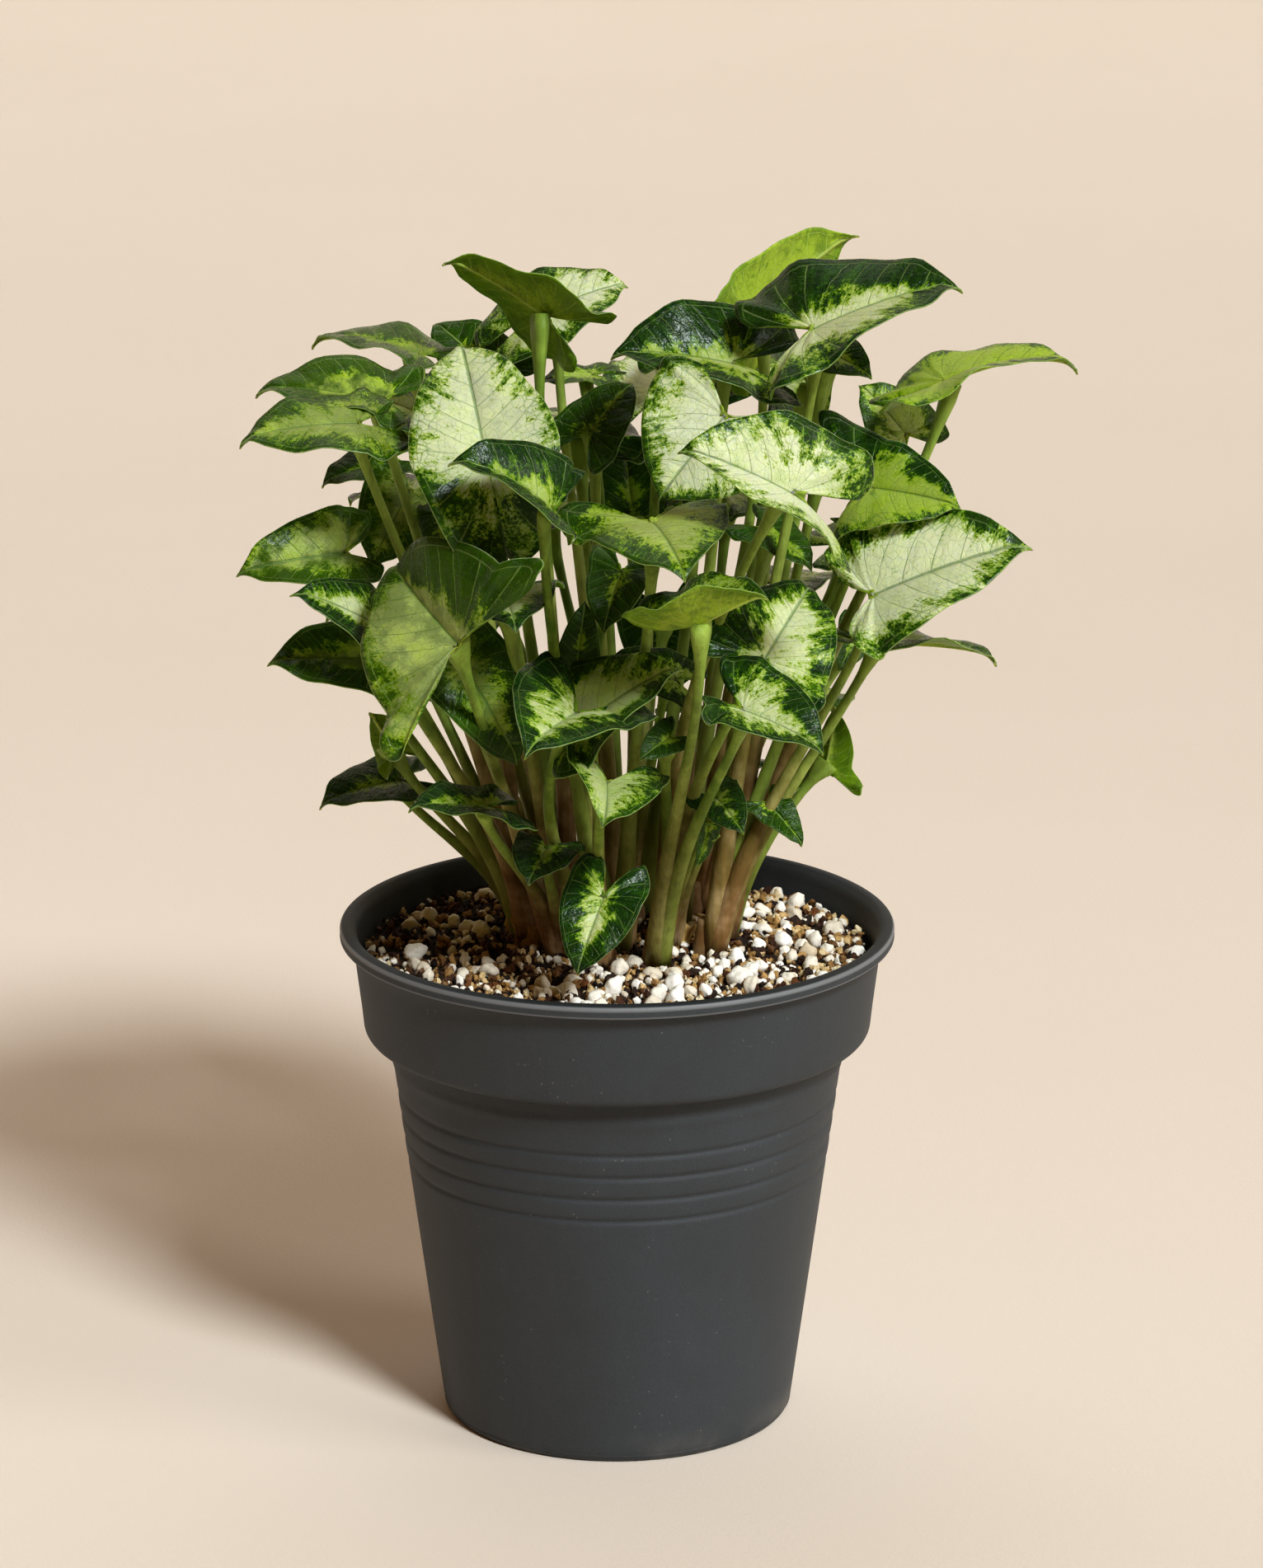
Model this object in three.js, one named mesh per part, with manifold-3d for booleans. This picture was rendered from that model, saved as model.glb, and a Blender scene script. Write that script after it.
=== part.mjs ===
import * as THREE from 'three';
import { mergeVertices } from 'three/addons/utils/BufferGeometryUtils.js';
import Module from 'manifold-3d';

// An arrowhead plant in its round nursery pot: the pot, the potting mix and fifteen leafy shoots.
// Millimetres, +Z up, origin at the middle of the pot's underside. -Y is the plant's front.

const wasm = await Module();
wasm.setup();

// Driving dimensions
const potHeight = 120;
const lipRadius = 65; // outside of the rolled lip
const baseRadius = 41.4;
const wall = 1.4;
const clearance = 0.3; // between pieces that touch
const sides = 32; // of the pot and the mix, so that their facets stay side by side

// Pot
const collarTop = { radius: 62, z: potHeight - 3.6 }; // under the lip
const collarFoot = { radius: 59.6, z: 94.7 };
const bodyTop = { radius: 53.7, z: 93.2 }; // under the step
const footChamfer = 1.2;
const grooveHeights = [62.8, 68.2, 73.8, 79.3];
const grooveDepth = 0.55;
const grooveHalfWidth = 0.8;
const drainCount = 6;
const drainRadius = 3.6;
const drainRing = 27; // radius of the ring of drain holes

// Potting mix
const mixTop = 113.2; // mean height of its surface
const mixRadius = 58.2;
const mixRings = 9; // of surface points
const mixSwell = 0.6;
const mixCrumb = 1.3; // height of the crumbs between its hollows
const mixDish = 1.2; // its fall towards the pot's wall
const grainCount = 25;
const grainSizes = [2.3, 4]; // smallest and largest half width
const grainSeed = 11;
const holeRadius = 4.6; // round each stem

// Leafy shoots
const rootDepth = 13; // of a stem below the surface of the mix
const stemRadius = 3.4;
const stemSides = 6;
const stemRise = 9; // of the stem above the mix, before the petioles part
const stemRings = [[0, 1], [0.7, 1], [1, 0.6]]; // [share of its length, share of its radius]
const petioleStart = 0.5; // of the stem's radius, from its middle to where a petiole starts
const petioleRings = [[0, 2.3], [0.25, 1.6], [0.6, 1.2], [0.95, 1.05], [1, 0.4]]; // [share, radius]
const petioleSides = 4;
const petioleInset = 1.6; // from the sinus forward to where the petiole meets the midrib
const bladeThickness = 0.8;
const outlineSteps = 4; // from the tip of half a blade to level with the petiole, and from there on round
const largeLeaf = 32; // longer blades get two strips across each half
const smallLeaf = 20; // shorter blades get one outline step less

// Half of an arrowhead blade, from its tip round the basal lobe to the petiole, as distances
// along and across the midrib in lengths from petiole to tip.
const halfOutline = [
  [1.00, 0.000], [0.95, 0.035], [0.86, 0.115], [0.72, 0.225], [0.52, 0.335],
  [0.28, 0.425], [0.04, 0.465], [-0.18, 0.455], [-0.37, 0.405], [-0.51, 0.315],
  [-0.56, 0.215], [-0.50, 0.130], [-0.33, 0.070], [-0.14, 0.030], [0.00, 0.000],
];
const widestKnot = 6; // the outline point level with the petiole
const lobeReach = 0.56;
const halfWidth = 0.465;
const lobeSpread = 0.9; // how far wide open lobes swing out, and how much shorter they then reach
const lobeShorten = 0.3;

// How a blade is bent, in degrees. Left and right are the leaf's own, seen from its petiole.
const leafForm = {
  width: 1, // share of the usual width
  reach: 1, // share of the usual length of the basal lobes
  spread: 0.3, // how far the lobes stand apart: 0 is nearly closed, 1 is wide open
  bend: 20, // droop of the midrib from petiole to tip
  hook: 20, // extra droop of its last third
  fold: 12, // rise of each half from the midrib
  cup: 15, // how far that rise falls off again towards the edge
  lobeLeft: 20, // droop of the basal lobes
  lobeRight: 20,
  twist: 0,
  wave: 0.02, // of the edge, in blade lengths
  sway: 0, // sideways bow of the petiole, to the left on its way up
};

const leaf = (base, tip, face, form = {}) => ({ base, tip, face, ...leafForm, ...form });

// Each shoot's foot in the mix, and its leaves: where the petiole joins the blade, the tip,
// the way the blade's upper side faces, and what differs from the usual form.
const shoots = [
  {
    foot: [-13, -6],
    leaves: [
      leaf([-29, -45, 242], [-35, -20, 262], [0, -0.74, 0.67], {
        width: 1.1, reach: 1.55, spread: -0.35, lobeRight: 65,
      }),
      leaf([-35, -62, 203], [-50, -35, 215], [-0.55, -0.75, 0.4], {
        width: 1.4, reach: 0.65, spread: 0.9, fold: 25, sway: -8,
      }),
      leaf([-34, -38, 191], [-22, -36, 167], [0.3, -0.8, 0.4], { width: 0.85, reach: 0.8, spread: 0.1 }),
      leaf([-29, -46, 161], [-47, -52, 162], [0, -0.15, 0.95], { width: 1.15, fold: 15 }),
      leaf([-16, -36, 148], [-20, -48, 143], [-0.1, -0.7, 0.7], { width: 1.2 }),
      leaf([-25, -40, 209], [-22, -60, 205], [0, -0.4, 0.9], { width: 1.2, spread: 0.6 }),
    ],
  },
  {
    foot: [-20, 4],
    leaves: [
      leaf([-53, -9, 246], [-83, -5, 247], [0, -0.25, 0.95], { reach: 0.45, fold: 18, lobeRight: 50 }),
      leaf([-58, -27, 245], [-85, -32, 241], [0, -0.3, 0.95], {
        width: 1.1, reach: 0.7, bend: 20, fold: 8, lobeLeft: -30,
      }),
      leaf([-62, -15, 212], [-87, -20, 208], [-0.1, -0.75, 0.65], {
        width: 0.9, reach: 0.5, spread: 0.1, fold: 25, sway: -6,
      }),
      leaf([-54, -30, 199], [-73, -40, 209], [0, -0.6, 0.8], { width: 0.9, reach: 0.6, sway: 6 }),
      leaf([-57, -18, 188], [-80, -23, 188], [-0.1, -0.6, 0.75], { reach: 0.6 }),
    ],
  },
  {
    foot: [-21, 15],
    leaves: [
      leaf([-46, 20, 251], [-72, 30, 251], [0, 0.02, 1], {
        reach: 0.5, spread: 0.1, bend: 35, lobeLeft: 0, lobeRight: 50,
      }),
      leaf([-38, 18, 240], [-46, 34, 243], [-0.1, -0.6, 0.8], { width: 0.8, reach: 0.4 }),
      leaf([-48, 8, 221], [-57, 1, 204], [0, -0.8, 0.5], { width: 1.1, reach: 0.6 }),
      leaf([-53, 18, 226], [-69, 13, 221], [0, -0.3, 0.9]),
      leaf([-51, 10, 151], [-70, 1, 147], [0, -0.3, 0.95]),
      leaf([-52, 2, 161], [-58, 9, 168], [-0.3, 0.8, 0.4]),
      leaf([-50, 26, 186], [-70, 37, 183], [-0.1, -0.1, 0.9]),
    ],
  },
  {
    foot: [-4, -12],
    leaves: [
      leaf([-14, -61, 233], [-37, -66, 245], [0.1, -0.45, 0.9], {
        reach: 0.2, spread: 0.3, bend: 45, fold: 30, lobeLeft: 0,
      }),
      leaf([-9, -58, 186], [-20, -83, 183], [0.25, -0.25, 0.95], {
        width: 1.2, fold: 25, lobeLeft: 0, lobeRight: -30, sway: -10,
      }),
      leaf([-8, -50, 181], [15, -55, 196], [0, -0.5, 0.8], {
        width: 1.1, reach: 0.6, spread: 0.1, fold: 20, lobeRight: 10,
      }),
      leaf([-3, -48, 140], [-9, -56, 124], [-0.2, -0.9, 0.35], { width: 1.05, spread: 0.1 }),
      leaf([-2, -58, 170], [-3, -76, 165], [0.4, -0.35, 0.85], {
        width: 1.4, reach: 1, spread: 0.5, fold: 30, lobeLeft: -20, lobeRight: -20,
      }),
      leaf([-9, -42, 192], [-7, -37, 207], [0.1, -0.95, 0.25], { width: 0.7, reach: 0.4 }),
    ],
  },
  {
    foot: [-9, 4],
    leaves: [
      leaf([-16, 5, 263], [-40, 4, 276], [0.15, 0.6, 0.8], {
        width: 1.1, reach: 1, spread: 0.5, fold: 8, lobeLeft: -30, lobeRight: -10,
      }),
      leaf([-40, -9, 219], [-39, -17, 211], [-0.2, -0.8, 0.4]),
    ],
  },
  {
    foot: [1, -2],
    leaves: [
      leaf([8, -66, 231.5], [15, -91, 224.5], [0, -0.5, 0.85], {
        width: 1.3, reach: 1.15, spread: 0.5, bend: 30, fold: 8, lobeLeft: 10, lobeRight: -40,
      }),
      leaf([1, -33, 212], [-3, -43, 200], [-0.2, -0.8, 0.5], { sway: -12 }),
      leaf([13, -25, 185], [-3, -27, 190], [0, -0.5, 0.85]),
    ],
  },
  {
    foot: [9, -13],
    leaves: [
      leaf([17, -76, 211], [33, -82, 219], [0, 0, 1], {
        width: 1.5, reach: 1.6, spread: 0.1, bend: 10, fold: 45, cup: 10, lobeLeft: -30, lobeRight: -30,
      }),
      leaf([28, -66, 189], [46, -74, 181], [0, -0.4, 0.9], {
        width: 1.25, spread: 0.3, fold: 30, lobeLeft: -10, lobeRight: -75,
      }),
    ],
  },
  {
    foot: [12, 1],
    leaves: [
      leaf([24, -30, 247], [9, -37, 229], [0, -0.85, 0.5], { width: 1.6, reach: 0.5 }),
      leaf([38, -70, 239], [13, -72, 249], [0, -0.6, 0.8], {
        width: 1.3, reach: 1.1, spread: 0.2, fold: 34, cup: 5, lobeLeft: 50, sway: -10,
      }),
      leaf([26, -10, 255], [-2, -12, 257], [0, -0.5, 0.85], { width: 1.2, fold: 30 }),
      leaf([12, -35, 174], [5, -40, 170], [0, -0.7, 0.6]),
      leaf([33, -52, 197], [44, -28, 208], [0, -0.9, 0.4], {
        width: 1.1, reach: 0.5, spread: 0.4, sway: -5,
      }),
      leaf([23, -26, 157], [29, -35, 151], [0.1, -0.8, 0.5]),
      leaf([21, -25, 150], [18, -28, 141], [0.5, -0.8, 0.2], { width: 0.6 }),
    ],
  },
  {
    foot: [21, -6],
    leaves: [
      leaf([34, -5, 215], [45, -12, 207], [0, -0.3, 0.9]),
      leaf([58, -30, 206], [94, -32, 218], [0.1, -0.6, 0.8], {
        width: 1.1, reach: 0.35, spread: 0.1, fold: 22, lobeRight: -40,
      }),
      leaf([44, -25, 266], [78, -22, 275], [0, -0.32, 0.95], {
        width: 1.2, reach: 0.8, fold: 20, lobeLeft: 10, lobeRight: 45,
      }),
      leaf([58, -18, 228], [78, -26, 225], [0, -0.75, 0.65], {
        width: 1.15, reach: 2, spread: 0.8, fold: 15, lobeLeft: -20, lobeRight: 120,
      }),
      leaf([58, -15, 191], [88, -13, 186], [0, 0.12, 1], {
        reach: 0.6, spread: 0.1, lobeLeft: -30, lobeRight: -30,
      }),
      leaf([35, -13, 152], [43, -18, 143], [0, -0.5, 0.8], { width: 0.8, reach: 0.5 }),
    ],
  },
  {
    foot: [24, 7],
    leaves: [
      leaf([75, -5, 250], [106, -2, 252], [0, 0, 1], {
        spread: 0.1, bend: 40, fold: 15, lobeLeft: 10, lobeRight: -10,
      }),
      leaf([47, -5, 257], [58, -13, 252], [0, -0.6, 0.7]),
      leaf([45, 5, 248], [46, -1, 237], [0.5, -0.8, 0.3], { width: 0.7, fold: 35 }),
      leaf([56, 26, 182], [52, 22, 174], [0.3, -0.8, 0.3]),
      leaf([49, 5, 155], [51, 15, 168], [0.2, 0.7, 0.6], { width: 0.8, reach: 1.2, spread: 0.9 }),
      leaf([62, 16, 212], [90, 20, 209], [0, 0.1, 1], { reach: 0.7 }),
      leaf([67, 20, 232], [56, 24, 243], [0.2, -0.8, 0.5], { width: 1.2, reach: 0.9 }),
      leaf([47, 24, 226], [66, 40, 224], [0.2, 0.2, 0.9], { width: 0.8, reach: 0.7 }),
    ],
  },
  {
    foot: [13, 13],
    leaves: [
      leaf([32, 18, 260], [56, 33, 277], [-0.35, 0.8, 0.4], { width: 0.9, reach: 0.8 }),
    ],
  },
  {
    foot: [1, 12],
    leaves: [
      leaf([-16, 32, 259], [3, 36, 264], [0, -0.5, 0.85], { width: 1.3, reach: 1.7, spread: -0.1 }),
      leaf([-6, 38, 242], [-19, 37, 240], [0, -0.2, 1], { reach: 1.3 }),
      leaf([-6, 10, 235], [4, 21, 244], [0, -0.6, 0.8]),
      leaf([-9, 46, 226], [-13, 76, 224], [0, 0.3, 0.95]),
    ],
  },
  {
    foot: [-12, 25],
    leaves: [
      leaf([-30, 42, 242], [-44, 56, 251], [0, -0.6, 0.8], { reach: 0.6 }),
      leaf([-44, 40, 213], [-65, 57, 207], [-0.4, 0.2, 0.9], { reach: 0.6 }),
      leaf([-48, 36, 234], [-68, 50, 234], [-0.2, 0.1, 0.95], { reach: 0.8, sway: 8 }),
      leaf([-30, 52, 186], [-38, 62, 168], [-0.2, -0.5, 0.6], { width: 1.1 }),
      leaf([-38, 38, 165], [-52, 52, 160], [-0.4, 0.2, 0.9]),
      leaf([-15, 43, 155], [-19, 59, 149], [0, 0.5, 0.9], { width: 0.8 }),
    ],
  },
  {
    foot: [4, 24],
    leaves: [
      leaf([10, 47, 236], [8, 76, 239], [0, 0.2, 0.95]),
      leaf([20, 34, 249], [30, 58, 255], [0.1, 0.1, 0.95], { reach: 0.8, sway: -8 }),
      leaf([4, 58, 202], [1, 65, 223], [0, -0.8, 0.4], { width: 1.2, reach: 0.8 }),
      leaf([-16, 62, 204], [-32, 84, 200], [-0.2, 0.4, 0.9]),
      leaf([20, 44, 158], [27, 62, 151], [0.2, 0.5, 0.9], { reach: 0.5 }),
      leaf([11, 48, 181], [13, 54, 160], [0, -0.8, 0.4], { width: 1.1, reach: 0.8 }),
    ],
  },
  {
    foot: [18, 24],
    leaves: [
      leaf([38, 38, 240], [58, 58, 244], [0.2, 0.2, 0.95]),
      leaf([26, 46, 212], [38, 69, 210], [0.2, 0.3, 0.9], { width: 0.85 }),
      leaf([54, 38, 201], [78, 51, 196], [0.4, 0.2, 0.9]),
      leaf([40, 54, 188], [58, 76, 182], [0.2, 0.4, 0.9]),
      leaf([45, 36, 164], [56, 52, 159], [0.3, 0.2, 0.9], { reach: 0.6 }),
      leaf([28, 46, 146], [34, 60, 140], [0.3, 0.4, 0.9], { reach: 0.5 }),
    ],
  },
];

const degrees = THREE.MathUtils.degToRad;
const vector = (values) => new THREE.Vector3(...values);
const smoothOutline = new THREE.CatmullRomCurve3(
  halfOutline.map(([along, across]) => new THREE.Vector3(along, across, 0)), false, 'catmullrom', 0.5);

// Numbers from 0 to 1 that are the same on each run
function seededRandom(seed) {
  let state = seed;
  return () => {
    state = (state * 16807) % 2147483647;
    return state / 2147483647;
  };
}

// Closed solids: a mesh with shared vertices and no empty triangles
function toSolid(geometry) {
  geometry.deleteAttribute('normal');
  geometry.deleteAttribute('uv');
  const merged = mergeVertices(geometry, 1e-4);
  const index = merged.index.array;
  const kept = [];
  for (let i = 0; i < index.length; i += 3) {
    const [a, b, c] = [index[i], index[i + 1], index[i + 2]];
    if (a !== b && b !== c && c !== a) {
      kept.push(a, b, c);
    }
  }
  const mesh = new wasm.Mesh({
    numProp: 3,
    vertProperties: new Float32Array(merged.attributes.position.array),
    triVerts: new Uint32Array(kept),
  });
  return new wasm.Manifold(mesh);
}

function toGeometry(solid) {
  const mesh = solid.getMesh();
  const geometry = new THREE.BufferGeometry();
  geometry.setAttribute('position', new THREE.BufferAttribute(mesh.vertProperties, 3));
  geometry.setIndex(new THREE.BufferAttribute(mesh.triVerts, 1));
  geometry.computeVertexNormals();
  return geometry;
}

function fromPoints(points, triangles) {
  const geometry = new THREE.BufferGeometry();
  geometry.setAttribute('position', new THREE.Float32BufferAttribute(points.flatMap((p) => p.toArray()), 3));
  geometry.setIndex(triangles.flat());
  return geometry;
}

// A profile of [radius, height] turned about the Z axis
function turned(profile) {
  const points = profile.map(([radius, z]) => new THREE.Vector2(radius, z));
  return new THREE.LatheGeometry(points, sides).rotateX(Math.PI / 2);
}

// A round bar along a curve, with closed ends and rings given as [share of its length, radius]
function taperedBar(curve, rings, barSides, sideways) {
  const points = [];
  const triangles = [];
  for (const [share, radius] of rings) {
    const centre = curve.getPointAt(share);
    const tangent = curve.getTangentAt(share);
    const across = sideways.clone().addScaledVector(tangent, -sideways.dot(tangent)).normalize();
    const other = tangent.clone().cross(across);
    for (let s = 0; s < barSides; s++) {
      const turn = (2 * Math.PI * s) / barSides;
      points.push(centre.clone()
        .addScaledVector(across, radius * Math.cos(turn))
        .addScaledVector(other, radius * Math.sin(turn)));
    }
  }
  const last = (rings.length - 1) * barSides;
  for (let k = 0; k < last; k += barSides) {
    for (let s = 0; s < barSides; s++) {
      const [a, b] = [k + s, k + ((s + 1) % barSides)];
      triangles.push([a, b, b + barSides], [a, b + barSides, a + barSides]);
    }
  }
  for (let s = 1; s < barSides - 1; s++) {
    triangles.push([0, s + 1, s], [last, last + s, last + s + 1]);
  }
  return fromPoints(points, triangles);
}

// Pot

function bodyRadius(z) {
  const slope = (bodyTop.radius - baseRadius) / (bodyTop.z - footChamfer);
  return baseRadius + slope * (z - footChamfer);
}

function potSolid() {
  const outside = [[0, 0], [baseRadius - footChamfer, 0], [baseRadius, footChamfer]];
  for (const z of grooveHeights) {
    outside.push([bodyRadius(z - grooveHalfWidth), z - grooveHalfWidth]);
    outside.push([bodyRadius(z) - grooveDepth, z]);
    outside.push([bodyRadius(z + grooveHalfWidth), z + grooveHalfWidth]);
  }
  outside.push([bodyTop.radius, bodyTop.z]);
  outside.push([collarFoot.radius - 1, bodyTop.z + 0.1], [collarFoot.radius, collarFoot.z]);
  outside.push([collarTop.radius, collarTop.z]);
  const lip = [
    [lipRadius, collarTop.z + 0.7],
    [lipRadius, potHeight - 0.9],
    [lipRadius - 0.8, potHeight],
    [collarTop.radius - 0.4, potHeight],
  ];
  const inside = [
    [collarTop.radius - wall, collarTop.z],
    [collarFoot.radius - wall, collarFoot.z + wall],
    [bodyTop.radius - wall, bodyTop.z + wall],
    [baseRadius - wall, wall],
    [0, wall],
  ];
  let pot = toSolid(turned([...outside, ...lip, ...inside]));
  for (let k = 0; k < drainCount; k++) {
    const turn = (2 * Math.PI * (k + 0.5)) / drainCount;
    const drill = new THREE.CylinderGeometry(drainRadius, drainRadius, 4 * wall, 6).rotateX(Math.PI / 2);
    drill.translate(drainRing * Math.cos(turn), drainRing * Math.sin(turn), 0);
    pot = pot.subtract(toSolid(drill));
  }
  return pot;
}

// Potting mix

// Low swells, crumbs that differ from point to point, and a slight fall towards the wall
function mixHeight(x, y) {
  const swell = Math.sin(x * 0.17 + 1) * Math.cos(y * 0.21) + 0.6 * Math.sin(x * 0.41 - y * 0.33);
  const scatter = Math.sin(12.99 * Math.round(2 * x) + 78.23 * Math.round(2 * y)) * 437.5;
  const crumb = mixCrumb * (scatter - Math.floor(scatter) - 0.5);
  return mixTop + mixSwell * swell + crumb - mixDish * (Math.hypot(x, y) / mixRadius) ** 4;
}

function mixBody() {
  const gap = wall + clearance;
  const profile = [
    [0, gap],
    [baseRadius - gap, gap],
    [bodyTop.radius - gap, bodyTop.z + gap],
    [collarFoot.radius - gap - 0.5, collarFoot.z + gap + 0.6],
    [mixRadius + 1.2, mixTop - 3],
  ];
  for (let k = mixRings; k >= 0; k--) {
    profile.push([(mixRadius * k) / mixRings, mixTop]);
  }
  const geometry = turned(profile);
  const position = geometry.attributes.position;
  for (let i = 0; i < position.count; i++) {
    if (position.getZ(i) > mixTop - 0.01) {
      position.setZ(i, mixHeight(position.getX(i), position.getY(i)));
    }
  }
  return toSolid(geometry);
}

// Grains of perlite and bark, thickest at the front and right where the leaves leave it bare
function grains() {
  const random = seededRandom(grainSeed);
  const placed = [];
  while (placed.length < grainCount) {
    const turn = 2 * Math.PI * random();
    const ring = (mixRadius - 5) * Math.sqrt(random());
    const [x, y] = [ring * Math.cos(turn), ring * Math.sin(turn)];
    const favoured = y < 0 || x > 0;
    const half = grainSizes[0] + (grainSizes[1] - grainSizes[0]) * random() ** 2;
    const nearStem = shoots.some(({ foot }) => Math.hypot(x - foot[0], y - foot[1]) < stemRadius + half + 3);
    const nearGrain = placed.some((g) => Math.hypot(x - g.x, y - g.y) < (half + g.half) * 1.15);
    const skip = !favoured && random() < 0.5;
    if (nearStem || nearGrain || skip) {
      continue;
    }
    const shape = [1, 0.7 + 0.3 * random(), 0.6 + 0.2 * random()];
    placed.push({ x, y, half, shape, turn: 6 * random() });
  }
  return placed;
}

function grainSolid({ x, y, half, shape, turn }) {
  const grain = new THREE.IcosahedronGeometry(half, 0).scale(...shape).rotateX(turn).rotateZ(turn);
  return toSolid(grain.translate(x, y, mixHeight(x, y) + 0.25 * half));
}

function mixSolid() {
  let mix = mixBody();
  for (const grain of grains()) {
    mix = mix.add(grainSolid(grain));
  }
  for (const { foot } of shoots) {
    const hole = new THREE.CylinderGeometry(1, 1, 1, stemSides).rotateX(Math.PI / 2);
    const depth = rootDepth + clearance;
    hole.scale(holeRadius, holeRadius, 3 * depth);
    mix = mix.subtract(toSolid(hole.translate(...foot, mixTop + 0.5 * depth)));
  }
  return mix;
}

// Leaves

// The frame of a blade: along its chord, to its left, and up from its upper side
function leafFrame({ base, tip, face }) {
  const chord = vector(tip).sub(vector(base));
  const along = chord.clone().normalize();
  const up = vector(face);
  up.addScaledVector(along, -up.dot(along)).normalize();
  const left = up.clone().cross(along);
  return { along, left, up, length: chord.length() };
}

// The midrib's place and slope at a share of the blade's length, before scaling
function midribAt(share, { bend, hook }, lobeDroop) {
  const steps = 12;
  const lateFrom = 0.65;
  const slopeAt = (s) => {
    if (s < 0) {
      return (-degrees(lobeDroop) * s) / lobeReach;
    }
    const late = Math.max(0, (s - lateFrom) / (1 - lateFrom));
    return -degrees(bend) * s - degrees(hook) * late * late;
  };
  let [x, z] = [0, 0];
  for (let k = 0; k < steps; k++) {
    const slope = slopeAt(((k + 0.5) / steps) * share);
    x += (Math.cos(slope) * share) / steps;
    z += (Math.sin(slope) * share) / steps;
  }
  return { x, z, slope: slopeAt(share) };
}

// A point of the upper side: side is 1 on the left and -1 on the right, round runs from the tip
// to the end of the lobe, out from the midrib to the edge
function bladePoint(form, frame, side, round, out) {
  const knot = smoothOutline.getPoint(round);
  const back = Math.max(0, -knot.x);
  const edgeAlong = knot.x + back * (1 - form.reach * (1 - lobeShorten * form.spread));
  const edgeAcross = knot.y * form.width + lobeSpread * form.spread * back;
  const spine = Math.max(0, 1 - (round * (halfOutline.length - 1)) / widestKnot);
  const along = spine + (edgeAlong - spine) * out;
  const across = edgeAcross * out;
  const rib = midribAt(along, form, side > 0 ? form.lobeLeft : form.lobeRight);

  const steps = 6;
  let [sideways, rise] = [0, 0];
  for (let k = 0; k < steps; k++) {
    const slope = degrees(form.fold) - (degrees(form.cup) / halfWidth) * across * ((k + 0.5) / steps);
    sideways += (Math.cos(slope) * across) / steps;
    rise += (Math.sin(slope) * across) / steps;
  }
  const phase = side > 0 ? 0 : 0.37; // so that the halves don't wave alike
  rise += form.wave * out * out * Math.sin(2 * Math.PI * (3 * round + phase)) * Math.sin(Math.PI * round);
  const twist = degrees(form.twist) * along * side;
  const twistedSideways = sideways * Math.cos(twist) - rise * Math.sin(twist);
  const twistedRise = sideways * Math.sin(twist) + rise * Math.cos(twist);

  const end = midribAt(1, form, 0);
  const tilt = Math.atan2(end.z, end.x);
  const scale = frame.length / Math.hypot(end.x, end.z);
  const x = rib.x - Math.sin(rib.slope) * twistedRise;
  const z = rib.z + Math.cos(rib.slope) * twistedRise;
  return vector(form.base)
    .addScaledVector(frame.along, scale * (x * Math.cos(tilt) + z * Math.sin(tilt)))
    .addScaledVector(frame.up, scale * (z * Math.cos(tilt) - x * Math.sin(tilt)))
    .addScaledVector(frame.left, scale * twistedSideways * side);
}

// A blade with its two halves joined along the midrib, split alike on both faces
function bladeSolid(form) {
  const frame = leafFrame(form);
  const strips = frame.length > largeLeaf ? 2 : 1;
  const steps = frame.length < smallLeaf ? outlineSteps - 1 : outlineSteps;
  const last = 2 * steps;
  const widest = widestKnot / (halfOutline.length - 1);
  const roundAt = (i) => (i <= steps ? (widest * i) / steps : widest + (1 - widest) * (i / steps - 1));

  const upper = [];
  const known = new Map();
  const vertex = (side, i, j) => {
    let key = `${side},${i},${j}`;
    if (i === 0) {
      key = 'tip';
    } else if (i === last || (j === 0 && i >= steps)) {
      key = 'petiole';
    } else if (j === 0) {
      key = `rib,${i}`;
    }
    if (!known.has(key)) {
      known.set(key, upper.length);
      upper.push(bladePoint(form, frame, side, roundAt(i), j / strips));
    }
    return known.get(key);
  };

  const faces = [];
  const edge = [];
  for (const side of [1, -1]) {
    const addFace = (a, b, c) => {
      if (a !== b && b !== c && c !== a) {
        faces.push(side > 0 ? [a, c, b] : [a, b, c]);
      }
    };
    for (let i = 0; i < last; i++) {
      for (let j = 0; j < strips; j++) {
        const [a, b] = [vertex(side, i, j), vertex(side, i + 1, j)];
        const [c, d] = [vertex(side, i + 1, j + 1), vertex(side, i, j + 1)];
        addFace(a, b, c);
        addFace(a, c, d);
      }
      const step = [vertex(side, i, strips), vertex(side, i + 1, strips)];
      edge.push(side > 0 ? step : step.reverse());
    }
  }

  const normals = upper.map(() => new THREE.Vector3());
  for (const face of faces) {
    const [a, b, c] = face.map((k) => upper[k]);
    const normal = b.clone().sub(a).cross(c.clone().sub(a));
    face.forEach((k) => normals[k].add(normal));
  }
  const lower = upper.map((point, k) => point.clone().addScaledVector(normals[k].normalize(), -bladeThickness));
  const count = upper.length;
  const closed = [...faces];
  for (const [a, b, c] of faces) {
    closed.push([a + count, c + count, b + count]);
  }
  for (const [a, b] of edge) {
    closed.push([a, a + count, b + count], [a, b + count, b]);
  }
  return toSolid(fromPoints([...upper, ...lower], closed));
}

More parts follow.
